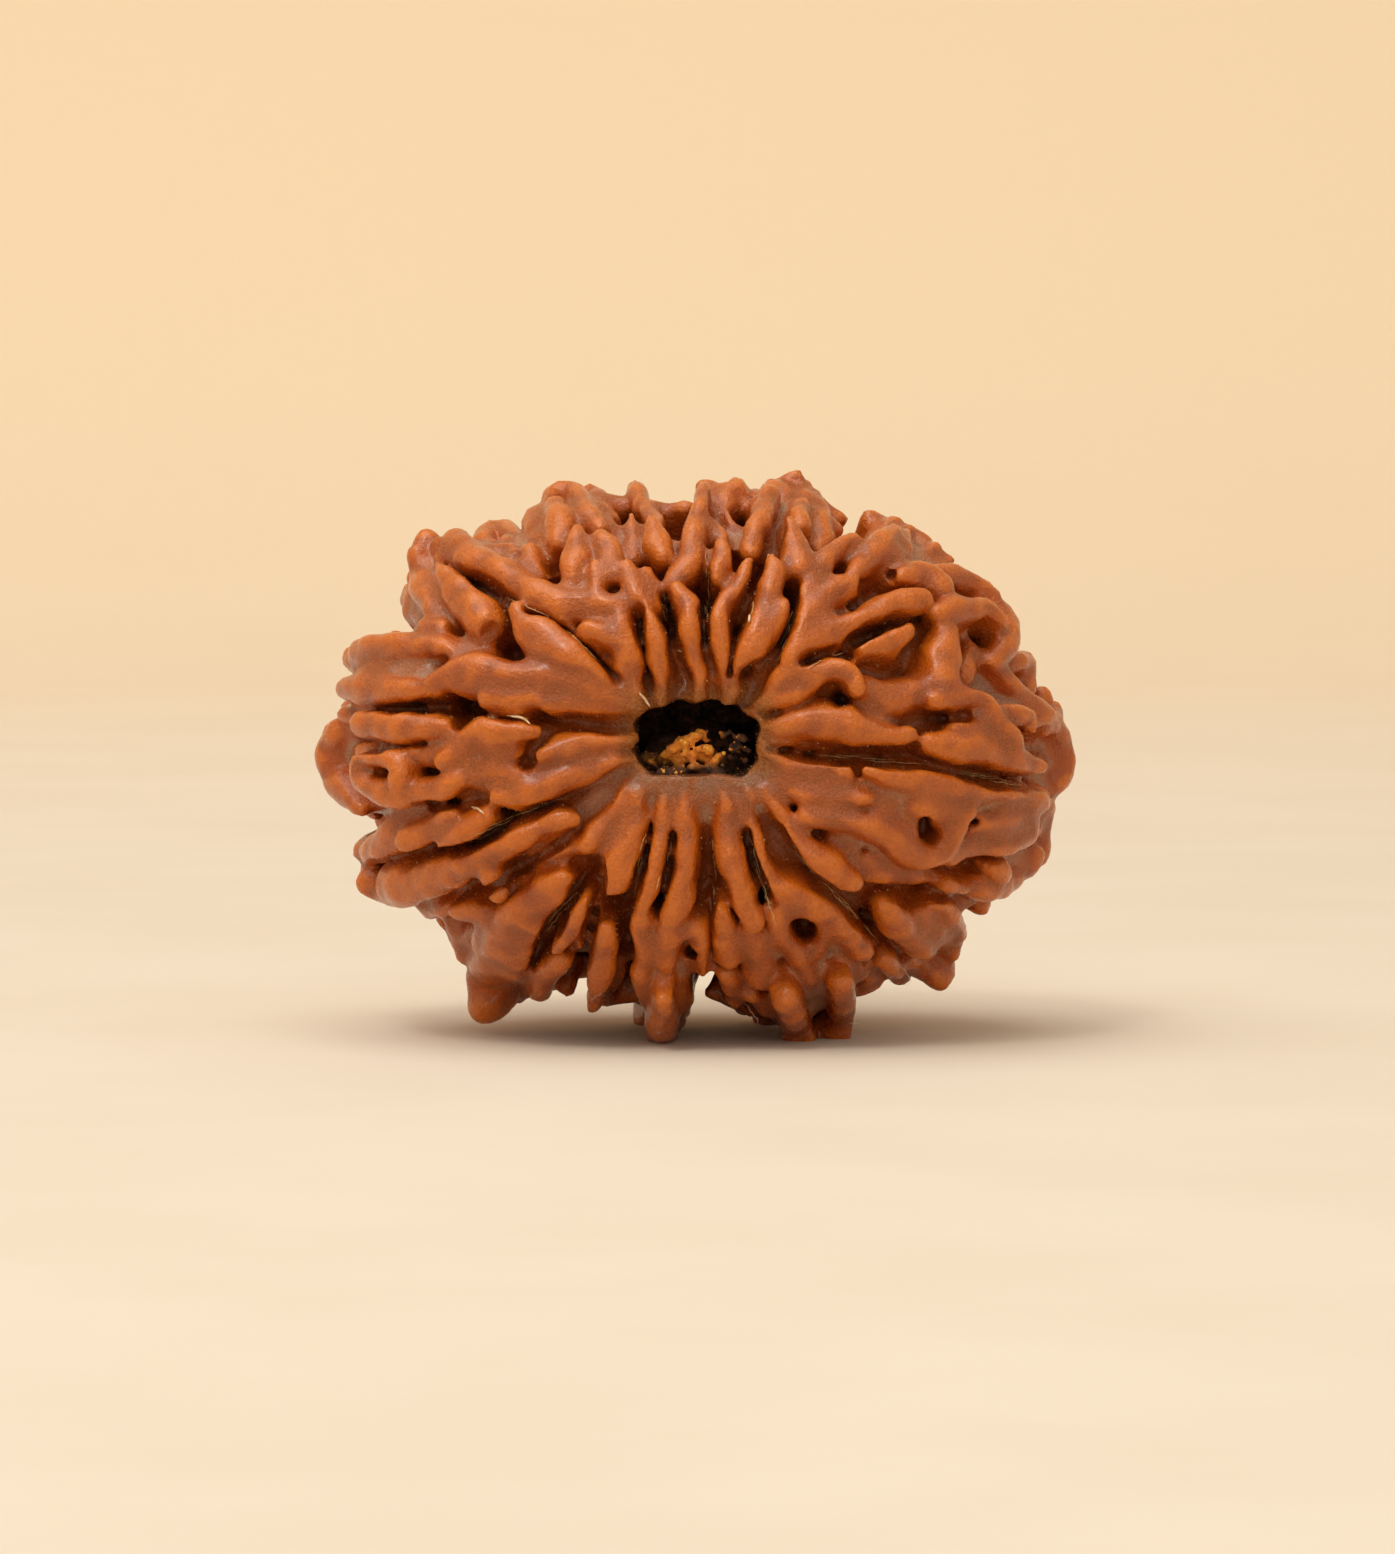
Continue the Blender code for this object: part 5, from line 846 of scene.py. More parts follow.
def spread(values, edges, rounds):
    """Averages each point's value with its neighbours' this many times."""
    one = np.concatenate([edges[:, 0], edges[:, 1]])
    other = np.concatenate([edges[:, 1], edges[:, 0]])
    count = len(values)
    share = np.maximum(np.bincount(one, minlength=count), 1)
    for _ in range(rounds):
        if values.ndim == 1:
            values = 0.4 * values + 0.6 * np.bincount(one, values[other], count) / share
        else:
            near = [np.bincount(one, values[other, i], count) / share for i in range(values.shape[1])]
            values = 0.4 * values + 0.6 * np.stack(near, axis=1)
    return values


def step(values, low, high):
    """From 0 at low to 1 at high, with soft ends."""
    share = np.clip((values - low) / (high - low), 0.0, 1.0)
    return share * share * (3.0 - 2.0 * share)


def shelter(made, points, normals, edges, reach, rays, every):
    """How closed in each point is by the skin round it: 0 in the open, 1 at the bottom of a narrow cleft.
    Rays are sent from some of the points, and the rest take their neighbours' mean."""
    tree = BVHTree.FromObject(made, bpy.context.evaluated_depsgraph_get())
    chosen = points[::every] + normals[::every] * 0.00004
    facing = normals[::every]
    helper = np.where(np.abs(facing[:, :1]) < 0.7, [[1.0, 0.0, 0.0]], [[0.0, 1.0, 0.0]])
    across = np.cross(facing, helper)
    across /= np.linalg.norm(across, axis=1, keepdims=True)
    along = np.cross(facing, across)
    closed = np.zeros(len(chosen))
    for k in range(rays):
        lift = math.sqrt(1.0 - (k + 0.5) / rays)
        flat = math.sqrt(1.0 - lift * lift)
        turn = 2.39996 * k
        ways = facing * lift + across * (flat * math.cos(turn)) + along * (flat * math.sin(turn))
        for i, (start, way) in enumerate(zip(chosen.tolist(), ways.tolist())):
            far = tree.ray_cast(start, way, reach)[3]
            if far is not None:
                closed[i] += 1.0 - 0.6 * far / reach
    sums = np.zeros((len(points), 2))
    sums[::every] = np.stack([closed / rays, np.ones(len(chosen))], axis=1)
    sums = spread(sums, edges, 6)
    return sums[:, 0] / np.maximum(sums[:, 1], 1e-6)


def past_mouth(place):
    """How far out from the channel's flat sides each place lies, seen along the channel."""
    return np.hypot(np.maximum(np.abs(place[:, 0]) - 2.1, 0.0), np.maximum(np.abs(place[:, 2]) - 1.1, 0.0))


def note(mesh, name, values):
    """Stores one value for each point, for the materials."""
    layer = mesh.attributes.new(name, "FLOAT", "POINT")
    layer.data.foreach_set("value", np.asarray(values, np.float32))


points, normals, edges = skin_arrays(stone.data)
place = (points - np.array(centring)) / MM
side, deep, high = place.T
shell = np.stack([side / CREST_X**2, deep / CREST_Y**2, (high - CENTRE_Z) / CREST_Z**2], axis=1)
shell /= np.linalg.norm(shell, axis=1, keepdims=True)
closed_in = shelter(stone, points, normals, edges, 0.0035, 20, 5)
near_skin = spread(points, edges, 6)
broad_skin = spread(near_skin, edges, 60)
rim = np.einsum("ij,ij->i", points - near_skin, normals) / MM
swell = np.einsum("ij,ij->i", points - broad_skin, normals) / MM
from_mouth = past_mouth(place)
bore = step(-from_mouth, -0.62, -0.45) * step(-np.abs(place[:, 1]), -8.9, -8.2)
collar = step(-from_mouth, -1.7, -0.4) * (1.0 - bore)
note(stone.data, "shelter", closed_in)
note(stone.data, "rim", spread(rim, edges, 1))
note(stone.data, "swell", swell)
note(stone.data, "top", np.einsum("ij,ij->i", normals, shell))
note(stone.data, "bore", bore)
note(stone.data, "collar", collar)


def shade(red, green, blue):
    """A colour given by its 0 to 255 values, as the light it gives back."""
    parts = [((v / 255 + 0.055) / 1.055) ** 2.4 if v > 10 else v / 3295 for v in (red, green, blue)]
    return (*parts, 1.0)


def add_node(tree, kind, inputs=(), **settings):
    """Adds a node. Each input is (socket, value or the output that feeds it)."""
    made = tree.nodes.new(kind)
    for name, value in settings.items():
        setattr(made, name, value)
    for socket, value in inputs:
        if isinstance(value, bpy.types.NodeSocket):
            tree.links.new(value, made.inputs[socket])
        else:
            made.inputs[socket].default_value = value
    return made


def blend(tree, share, one, other, kind="MIX"):
    """Mixes two colours."""
    inputs = ((0, share), (6, one), (7, other))
    return add_node(tree, "ShaderNodeMix", inputs, data_type="RGBA", blend_type=kind).outputs[2]


def sums(tree, kind, one, other=0.0, third=0.0):
    """One step of arithmetic on values."""
    inputs = ((0, one), (1, other), (2, third)) if kind == "MULTIPLY_ADD" else ((0, one), (1, other))
    return add_node(tree, "ShaderNodeMath", inputs, operation=kind).outputs[0]


def product(tree, one, other):
    """Two values multiplied."""
    return sums(tree, "MULTIPLY", one, other)


def ease(tree, value, low, high, start=0.0, end=1.0):
    """Goes softly from start to end as the value goes from low to high."""
    inputs = ((0, value), (1, low), (2, high), (3, start), (4, end))
    return add_node(tree, "ShaderNodeMapRange", inputs, interpolation_type="SMOOTHSTEP").outputs[0]


def noted(tree, name):
    """A value stored on the piece's points."""
    return add_node(tree, "ShaderNodeAttribute", attribute_name=name).outputs["Fac"]


def millimetres(tree):
    """The place on the object, in millimetres."""
    place = add_node(tree, "ShaderNodeTexCoord").outputs["Object"]
    return add_node(tree, "ShaderNodeVectorMath", ((0, place), (3, 1000.0)), operation="SCALE").outputs[0]


def mottle(tree, place, scale, detail=2.0, rough=0.5, bent=0.0):
    """Cloudy noise with this many patches to the millimetre."""
    inputs = [("Vector", place), ("Scale", scale), ("Detail", detail)]
    inputs += [("Roughness", rough), ("Distortion", bent)]
    return add_node(tree, "ShaderNodeTexNoise", inputs).outputs["Fac"]


def new_group(name, inputs, outputs):
    """An empty shader group with these named inputs, each with its value, and outputs."""
    group = bpy.data.node_groups.new(name, "ShaderNodeTree")
    for label, value in inputs:
        kind = "NodeSocketColor" if isinstance(value, tuple) else "NodeSocketFloat"
        group.interface.new_socket(label, in_out="INPUT", socket_type=kind).default_value = value
    for label, kind in outputs:
        group.interface.new_socket(label, in_out="OUTPUT", socket_type=kind)
    return group, add_node(group, "NodeGroupInput"), add_node(group, "NodeGroupOutput")


def powder_group():
    """Fine pale dust: how much of it lies at each place and how high, for any amount and grain size."""
    group, given, result = new_group(
        "Fine powder",
        (("Amount", 0.5), ("Grains", 9.0)),
        (("Cover", "NodeSocketFloat"), ("Height", "NodeSocketFloat")),
    )
    place = millimetres(group)
    clouds = mottle(group, place, 0.55, 3.0, 0.6, 0.4)
    grains = mottle(group, place, given.outputs["Grains"], 2.0, 0.7)
    finer = add_node(group, "ShaderNodeTexVoronoi", (("Vector", place), ("Scale", 17.0))).outputs["Distance"]
    thick = product(group, given.outputs["Amount"], ease(group, clouds, 0.25, 0.8, 0.6, 1.0))
    speckle = sums(group, "ADD", ease(group, grains, 0.36, 0.64), ease(group, finer, 0.05, 0.5, 0.25, 0.0))
    cover = product(group, thick, ease(group, speckle, 0.0, 1.0, 0.45, 1.0))
    group.links.new(cover, result.inputs["Cover"])
    group.links.new(product(group, cover, speckle), result.inputs["Height"])
    return group


def place_group(tree, group, inputs):
    """Places a group in a material with its own values."""
    made = tree.nodes.new("ShaderNodeGroup")
    made.node_tree = group
    for socket, value in inputs:
        if isinstance(value, bpy.types.NodeSocket):
            tree.links.new(value, made.inputs[socket])
        else:
            made.inputs[socket].default_value = value
    return made


def new_material(name):
    """An empty material, its tree and its shader."""
    material = bpy.data.materials.new(name)
    material.use_nodes = True
    return material, material.node_tree, material.node_tree.nodes["Principled BSDF"]


def finish_skin(tree, shader, colour, rough, height, strength, depth):
    """Feeds the shader its colour, its roughness and a fine relief of this depth in metres."""
    tree.links.new(colour, shader.inputs["Base Color"])
    tree.links.new(rough, shader.inputs["Roughness"])
    inputs = (("Strength", strength), ("Distance", depth), ("Height", height))
    relief = add_node(tree, "ShaderNodeBump", inputs)
    tree.links.new(relief.outputs["Normal"], shader.inputs["Normal"])


powder = powder_group()
stone_skin, tree, shader = new_material("Woody stone")
place = millimetres(tree)
hidden = noted(tree, "shelter")
ridge = noted(tree, "rim")
raised = noted(tree, "swell")
top = noted(tree, "top")
bored = noted(tree, "bore")
ring = noted(tree, "collar")
broad = mottle(tree, place, 0.22, 2.0)
patches = mottle(tree, place, 1.1, 3.0, 0.6, 0.5)
grain = mottle(tree, place, 6.0, 3.0, 0.65)

# Clean wood: saturated orange brown, redder and darker in broad patches, brightest on the crests, partly worn
# by rubbing and partly a painted highlight.
wood = blend(tree, ease(tree, broad, 0.3, 0.7), shade(194, 92, 14), shade(168, 72, 8))
wood = blend(tree, ease(tree, patches, 0.3, 0.8, 0.0, 0.6), wood, shade(144, 58, 8))
# Painted highlight along the crests, mixed with the real wear of rubbing.
rubbed_and_highlit = product(tree, ease(tree, ridge, 0.02, 0.09), ease(tree, patches, 0.3, 0.6, 0.5, 1.0))
wood = blend(tree, product(tree, rubbed_and_highlit, 0.7), wood, shade(214, 112, 20))
wood = blend(tree, ease(tree, grain, 0.35, 0.7, 0.0, 0.25), wood, shade(130, 52, 18))

# Powder that dulls the broad, flat tops to a mauve brown, and lies paler in the shallow hollows.
flat_top = product(tree, ease(tree, top, 0.5, 0.9), ease(tree, ridge, 0.085, -0.015))
on_tops = place_group(tree, powder, (("Amount", product(tree, flat_top, 0.62)), ("Grains", 8.0)))
wood = blend(tree, on_tops.outputs["Cover"], wood, shade(144, 84, 42))
hollow = product(tree, ease(tree, raised, 0.02, -0.25), ease(tree, hidden, 0.65, 0.35))
hollow = product(tree, hollow, ease(tree, top, 0.3, 0.8))
in_hollows = place_group(tree, powder, (("Amount", product(tree, hollow, 0.9)), ("Grains", 11.0)))
wood = blend(tree, in_hollows.outputs["Cover"], wood, shade(178, 140, 112))

# Painted shade that deepens down the valleys' walls, to nearly black at their bottoms, by how closed in the
# skin is.
wood = blend(tree, ease(tree, hidden, 0.38, 0.7, 0.0, 0.6), wood, shade(132, 56, 10))
wood = blend(tree, ease(tree, hidden, 0.68, 0.9, 0.0, 0.82), wood, shade(66, 32, 12))

# The channel's mouth: ochre, granular flesh round it, and the bore painted nearly black as shade.
flesh = blend(tree, ease(tree, grain, 0.35, 0.65), shade(156, 84, 26), shade(204, 130, 58))
height = add_node(tree, "ShaderNodeSeparateXYZ", ((0, place),)).outputs["Z"]
lip = ease(tree, height, AXIS_HEIGHT - 1.1, AXIS_HEIGHT - 1.7)
pale_lip = product(tree, lip, ease(tree, patches, 0.3, 0.6, 0.3, 0.85))
flesh = blend(tree, pale_lip, flesh, shade(196, 150, 124))
wood = blend(tree, product(tree, ring, ease(tree, patches, 0.25, 0.6, 0.25, 0.75)), wood, flesh)
# Painted shade: the bore's walls nearly black.
wood = blend(tree, product(tree, bored, 0.92), wood, shade(40, 22, 12))

# Washed and oiled by handling: a thin, soft gloss over the clean wood, dull where the powder lies.
dust = sums(tree, "MAXIMUM", on_tops.outputs["Cover"], in_hollows.outputs["Cover"])
rough = ease(tree, dust, 0.0, 0.6, 0.27, 0.62)
rough = sums(tree, "ADD", rough, ease(tree, grain, 0.3, 0.7, -0.06, 0.08))
rough = sums(tree, "MAXIMUM", rough, product(tree, bored, 0.9))
shader.inputs["Specular IOR Level"].default_value = 0.5
shader.inputs["Coat Weight"].default_value = 0.4
shader.inputs["Coat Roughness"].default_value = 0.22
shader.inputs["Specular Tint"].default_value = shade(255, 226, 190)
relief = product(tree, grain, 0.6)
for height, share in (
    (mottle(tree, place, 2.2, 4.0, 0.65, 0.4), 1.1),
    (on_tops.outputs["Height"], 0.7),
    (product(tree, ring, mottle(tree, place, 4.0, 4.0, 0.75)), 5.0),
):
    relief = sums(tree, "ADD", relief, product(tree, height, share))
finish_skin(tree, shader, wood, rough, relief, 0.9, 0.00012)
stone.data.materials.clear()
stone.data.materials.append(stone_skin)
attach(stone, "root")
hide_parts("bead")


# Pith. The dried, crumbly core that was left in the channel when the kernel was bored: a heap of ochre crumbs
# low in the mouth, which rises to the roof further in, where it is painted nearly black as shade.
PITH_GAP = -0.08  # how far the pith stays off the channel's wall: it is pressed a little into it
PITH_FRONT = -8.7  # where it ends behind the front mouth, and before the far one
PITH_BACK = 7.8
# The crumbs of the heap: place and size, in millimetres from the middle of the channel.
HEAP = (
    (-1.3, -7.5, -0.65, 0.3), (-0.95, -7.7, -0.5, 0.34), (-0.5, -7.8, -0.25, 0.4), (-0.1, -7.7, 0.0, 0.38),
    (0.15, -7.5, 0.2, 0.3), (-0.55, -8.0, -0.7, 0.28), (0.1, -8.1, -0.4, 0.3), (0.6, -8.0, -0.5, 0.34),
    (0.9, -7.9, -0.85, 0.26), (0.45, -7.6, -0.1, 0.22), (-0.1, -8.1, -1.15, 0.3), (0.35, -8.0, -1.1, 0.2),
    (-0.85, -7.4, -1.0, 0.26), (1.05, -7.3, 0.1, 0.22), (1.4, -7.4, 0.3, 0.2), (1.75, -7.6, 0.1, 0.24),
    (2.1, -7.8, -0.05, 0.24), (1.6, -7.5, -0.35, 0.26), (2.15, -7.6, -0.5, 0.2), (1.5, -7.2, -0.9, 0.3),
    (1.9, -7.4, -1.0, 0.24), (-1.9, -7.2, -1.1, 0.24), (-0.9, -7.6, -0.95, 0.36), (-0.4, -7.7, -0.8, 0.38),
    (0.35, -7.7, -0.8, 0.36),
)


def new_growth(name, inputs):
    """An empty tree of geometry nodes with these named inputs, each (name, kind of socket, value)."""
    tree = bpy.data.node_groups.new(name, "GeometryNodeTree")
    tree.interface.new_socket("Geometry", in_out="INPUT", socket_type="NodeSocketGeometry")
    for label, kind, value in inputs:
        socket = tree.interface.new_socket(label, in_out="INPUT", socket_type=kind)
        if value is not None:
            socket.default_value = value
    tree.interface.new_socket("Geometry", in_out="OUTPUT", socket_type="NodeSocketGeometry")
    return tree, add_node(tree, "NodeGroupInput").outputs


def end_growth(tree, made, finish):
    """Ends a tree of geometry nodes: plain, smooth geometry in its finish."""
    real = add_node(tree, "GeometryNodeRealizeInstances", (("Geometry", made),))
    soft = add_node(tree, "GeometryNodeSetShadeSmooth", (("Geometry", real.outputs[0]),))
    done = add_node(tree, "GeometryNodeSetMaterial", (("Geometry", soft.outputs[0]), ("Material", finish)))
    tree.links.new(done.outputs[0], add_node(tree, "NodeGroupOutput").inputs[0])
    return tree


def cloudy_push(tree, scale, detail, reach):
    """A push to all sides that changes with the place, by noise of this scale."""
    cloud = add_node(tree, "ShaderNodeTexNoise", (("Scale", scale), ("Detail", detail))).outputs["Color"]
    inputs = ((0, cloud), (1, (0.5, 0.5, 0.5)))
    centred = add_node(tree, "ShaderNodeVectorMath", inputs, operation="SUBTRACT").outputs[0]
    return add_node(tree, "ShaderNodeVectorMath", ((0, centred), (3, reach)), operation="SCALE").outputs[0]


def drawn(tree, low, high, seed):
    """A random value between the two for each point, or a random vector."""
    kind, first, result = ("FLOAT_VECTOR", 0, 0) if isinstance(low, tuple) else ("FLOAT", 2, 1)
    inputs = ((first, low), (first + 1, high), (8, seed))
    return add_node(tree, "FunctionNodeRandomValue", inputs, data_type=kind).outputs[result]


def crumb_scatter():
    """A tree of nodes that lays small rough grains on a surface, most where a stored value is high."""
    tree, given = new_growth("Crumbs on a surface", (
        ("Surface", "NodeSocketObject", None), ("Crumbs to the square millimetre", "NodeSocketFloat", 4.0),
        ("Smallest", "NodeSocketFloat", 0.03), ("Largest", "NodeSocketFloat", 0.08),
        ("Seed", "NodeSocketInt", 1), ("Where", "NodeSocketString", "crumby"),
        ("Finish", "NodeSocketMaterial", None)))
    inputs = (("Object", given["Surface"]),)
    surface = add_node(tree, "GeometryNodeObjectInfo", inputs, transform_space="ORIGINAL")
    where = add_node(tree, "GeometryNodeInputNamedAttribute", (("Name", given["Where"]),))
    to_square_metre = product(tree, given["Crumbs to the square millimetre"], 1e6)
    density = product(tree, where.outputs["Attribute"], to_square_metre)
    inputs = (("Mesh", surface.outputs["Geometry"]), ("Density", density), ("Seed", given["Seed"]))
    laid = add_node(tree, "GeometryNodeDistributePointsOnFaces", inputs)
    inputs = (("Geometry", laid.outputs["Points"]), ("Name", "tint"), ("Value", drawn(tree, 0.0, 1.0, 5)))
    kept = add_node(tree, "GeometryNodeStoreNamedAttribute", inputs, domain="POINT")
    grain = add_node(tree, "GeometryNodeMeshIcoSphere", (("Radius", 0.001), ("Subdivisions", 2)))
    inputs = (("Geometry", grain.outputs["Mesh"]), ("Offset", cloudy_push(tree, 900.0, 1.0, 0.0014)))
    rough = add_node(tree, "GeometryNodeSetPosition", inputs)
    size = drawn(tree, given["Smallest"], given["Largest"], 3)
    squash = drawn(tree, (0.7, 0.6, 0.5), (1.5, 1.1, 1.0), 4)
    scale = add_node(tree, "ShaderNodeVectorMath", ((0, squash), (3, size)), operation="SCALE")
    inputs = (("Points", kept.outputs[0]), ("Instance", rough.outputs[0]),
              ("Rotation", drawn(tree, (0.0, 0.0, 0.0), (6.28, 6.28, 6.28), 9)), ("Scale", scale.outputs[0]))
    placed = add_node(tree, "GeometryNodeInstanceOnPoints", inputs)
    return end_growth(tree, placed.outputs[0], given["Finish"])


def grown(name, base, nodes, values):
    """Runs a tree of nodes on a mesh and returns what it makes as a plain piece."""
    made = bpy.data.objects.new(name, base)
    room.objects.link(made)
    modifier = made.modifiers.new("Growth", "NODES")
    modifier.node_group = nodes
    sockets = {item.name: item.identifier for item in nodes.interface.items_tree if item.in_out == "INPUT"}
    for label, value in values:
        modifier[sockets[label]] = value
    bake(made)
    return made


crumbs = random.Random(SEED + 1)
shape = bmesh.new()
for k in range(16):
    add_ellipsoid(shape, Vector((crumbs.uniform(-2.1, 2.1), -8.0 + 0.15 * k, -1.5)), (0.5, 0.4, 0.3), 3)
for k in range(90):
    y = -6.0 + 13.2 * k / 89
    level = -1.15 + 2.3 * min(max((y + 4.4) / 2.2, 0.0), 1.0)
    size = crumbs.uniform(0.45, 0.8)
    middle = Vector((crumbs.uniform(-2.1, 2.1), y, crumbs.uniform(-1.1, level)))
    add_ellipsoid(shape, middle, (size, size * 0.9, size * 0.8), 3)
for x, y, z, size in HEAP:
    for k in range(3):
        near = Vector([crumbs.uniform(-0.5, 0.5) * size for axis in range(3)])
        part = size * crumbs.uniform(0.5, 0.85)
        add_ellipsoid(shape, Vector((x, y, z)) + near, (part, part * 0.9, part * 0.75), 3)
for y in (0.5, 2.5, 4.5):
    add_ellipsoid(shape, Vector((0.0, y, 0.1)), (3.4, 1.6, 2.4), 3)
pith = as_object("dried_pith", shape, room)
fuse(pith, 0.09, True)
bar = channel_prism("bar", PITH_GAP, PITH_FRONT, PITH_BACK, room)
cut(pith, bar, "INTERSECT")
bpy.data.objects.remove(bar, do_unlink=True)
fuse(pith, 0.08, True)
rougher = []
for vert in pith.data.vertices:
    where = vert.co / MM
    rougher.append(vert.co + vert.normal * (0.10 * uneven(where, 0.35) + 0.05 * uneven(where, 0.16)) * MM)
for vert, where in zip(pith.data.vertices, rougher):
    vert.co = where
pith.data.transform(Matrix.Translation(centring))
pith.data.polygons.foreach_set("use_smooth", [True] * len(pith.data.polygons))
points, normals, edges = skin_arrays(pith.data)
place = (points - np.array(centring)) / MM
# Where the heap shows its own ochre; the rest of the pith is painted dark as shade.
fresh = step(-place[:, 1], 5.6, 6.6) * step(-place[:, 0], -1.25, -0.8) * step(place[:, 2], -1.3, -0.9)
note(pith.data, "fresh", fresh)
note(pith.data, "crumby", step(-place[:, 1], 4.6, 6.0) * step(normals[:, 2] - normals[:, 1], 0.2, 0.8))
note(pith.data, "shelter", shelter(pith, points, normals, edges, 0.0008, 10, 3))

pith_flesh, tree, shader = new_material("Dried pith")
place = millimetres(tree)
bright = noted(tree, "fresh")
hidden = noted(tree, "shelter")
clots = mottle(tree, place, 2.6, 3.0, 0.6, 0.6)
grain = mottle(tree, place, 12.0, 3.0, 0.7)
ochre = blend(tree, ease(tree, clots, 0.38, 0.62), shade(240, 150, 36), shade(196, 102, 18))
ochre = blend(tree, ease(tree, grain, 0.5, 0.75, 0.0, 0.7), ochre, shade(228, 176, 96))
# Painted shade: the pith further in and the gaps between the clots, nearly black.
dark = blend(tree, ease(tree, clots, 0.35, 0.65), shade(104, 62, 30), shade(36, 20, 11))
unshaded_share = product(tree, bright, ease(tree, clots, 0.8, 0.6, 0.45, 1.0))
flesh = blend(tree, unshaded_share, dark, ochre)
# Painted shade in the crevices between the crumbs.
flesh = blend(tree, ease(tree, hidden, 0.5, 0.8, 0.0, 0.75), flesh, shade(40, 20, 8))
finish_skin(tree, shader, flesh, ease(tree, grain, 0.3, 0.7, 0.75, 0.95), grain, 0.7, 0.00006)
pith.data.materials.clear()
pith.data.materials.append(pith_flesh)
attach(pith, "root")
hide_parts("pith")

crumb_look, tree, shader = new_material("Pith crumbs")
tint = noted(tree, "tint")
place = millimetres(tree)
grain = mottle(tree, place, 14.0, 2.0, 0.6)
colour = blend(tree, ease(tree, tint, 0.30, 0.45), shade(252, 180, 66), shade(226, 130, 34))
colour = blend(tree, ease(tree, tint, 0.66, 0.7), colour, shade(120, 56, 20))
colour = blend(tree, ease(tree, tint, 0.88, 0.9), colour, shade(44, 24, 12))
colour = blend(tree, ease(tree, grain, 0.4, 0.7, 0.0, 0.35), colour, shade(232, 190, 120))
finish_skin(tree, shader, colour, ease(tree, grain, 0.3, 0.7, 0.6, 0.9), grain, 0.5, 0.00003)
scatter = crumb_scatter()
pith_crumbs = grown("pith_crumbs", bpy.data.meshes.new("pith_crumbs"), scatter, (
    ("Surface", pith), ("Crumbs to the square millimetre", 6.0), ("Smallest", 0.04), ("Largest", 0.12),
    ("Seed", 4), ("Where", "crumby"), ("Finish", crumb_look)))
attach(pith_crumbs, "root")

# Husk fibres. Straw threads of the fruit's flesh that stayed in the seams between the lobes. They follow the
# seams' bottoms, seen from the front, and are grown by nodes along the courses below.
SEAMS = (
    (0.05, 3, ((5.0, -0.5), (7.0, -0.8), (9.5, -1.0), (11.0, -1.4))),
    (0.06, 5, ((10.8, -1.3), (12.0, -1.5), (13.2, -1.7), (15.0, -1.9))),
    (0.04, 3, ((-9.3, 1.1), (-8.2, 0.95), (-7.2, 0.9), (-6.5, 0.75))),
    (0.05, 3, ((-10.0, -4.2), (-8.5, -3.5), (-7.0, -2.9), (-5.2, -2.2))),
    (0.04, 2, ((-8.7, 6.3), (-6.0, 5.1), (-4.5, 3.8), (-3.3, 2.5))),
    (0.05, 6, ((-1.4, 6.3), (-1.3, 5.5), (-1.25, 4.7))),
    (0.04, 4, ((0.5, 8.2), (0.45, 6.6), (0.5, 5.2), (0.5, 3.6))),
    (0.04, 2, ((2.4, 6.4), (2.2, 5.2), (1.9, 4.2))),
    (0.04, 3, ((4.1, 5.7), (3.6, 4.2), (3.0, 3.0))),
    (0.04, 2, ((6.2, 3.7), (4.9, 3.3), (3.9, 2.6))),
    (0.05, 4, ((3.3, -3.5), (5.0, -5.7), (6.5, -7.1), (8.3, -9.1))),
    (0.04, 3, ((2.0, -3.5), (2.4, -5.0), (3.0, -6.8), (3.6, -8.8))),
    (0.04, 2, ((0.5, -4.0), (0.7, -6.3), (0.6, -8.3))),
    (0.04, 2, ((-1.2, -4.0), (-1.5, -5.6), (-1.9, -7.2))),
    (0.04, 2, ((-2.1, -3.7), (-2.5, -5.6), (-3.0, -8.6))),
    (0.04, 2, ((-4.8, -6.3), (-6.2, -7.7), (-7.4, -10.3))),
)
eye = mouth + Vector((0.0, -math.cos(VIEW_TILT), math.sin(VIEW_TILT))) * EYE * MM
up_in_view = Vector((0.0, math.sin(VIEW_TILT), math.cos(VIEW_TILT)))
stone_tree = BVHTree.FromObject(stone, bpy.context.evaluated_depsgraph_get())


def on_face(x, z):
    """Where the photographed point (x, z), in millimetres from the middle of the mouth, lies on the stone."""
    aim = mouth + Vector((x * MM, 0.0, 0.0)) + up_in_view * (z * MM)
    return stone_tree.ray_cast(eye, (aim - eye).normalized())[0]


def thread_grower():
    """A tree of nodes that turns bare runs of edges into thin, wandering threads with fine ends."""
    tree, given = new_growth("Threads along runs", (
        ("Thickness", "NodeSocketFloat", 0.05), ("Wander", "NodeSocketFloat", 0.3),
        ("Step", "NodeSocketFloat", 0.12), ("Finish", "NodeSocketMaterial", None)))
    runs = add_node(tree, "GeometryNodeMeshToCurve", (("Mesh", given["Geometry"]),))
    inputs = (("Curve", runs.outputs[0]), (3, product(tree, given["Step"], MM)))
    even = add_node(tree, "GeometryNodeResampleCurve", inputs, mode="LENGTH")
    push = cloudy_push(tree, 2600.0, 2.0, product(tree, given["Wander"], MM))
    moved = add_node(tree, "GeometryNodeSetPosition", (("Geometry", even.outputs[0]), ("Offset", push)))
    along = add_node(tree, "GeometryNodeSplineParameter").outputs["Factor"]
    taper = sums(tree, "SINE", product(tree, along, math.pi))
    kept = sums(tree, "MAXIMUM", sums(tree, "POWER", taper, 0.4), 0.12)
    radius = product(tree, given["Thickness"], MM / 2)
    ring = add_node(tree, "GeometryNodeCurvePrimitiveCircle", (("Resolution", 5), (4, radius)))
    inputs = (("Curve", moved.outputs[0]), ("Profile Curve", ring.outputs[0]), ("Scale", kept),
              ("Fill Caps", True))
    tube = add_node(tree, "GeometryNodeCurveToMesh", inputs)
    return end_growth(tree, tube.outputs[0], given["Finish"])


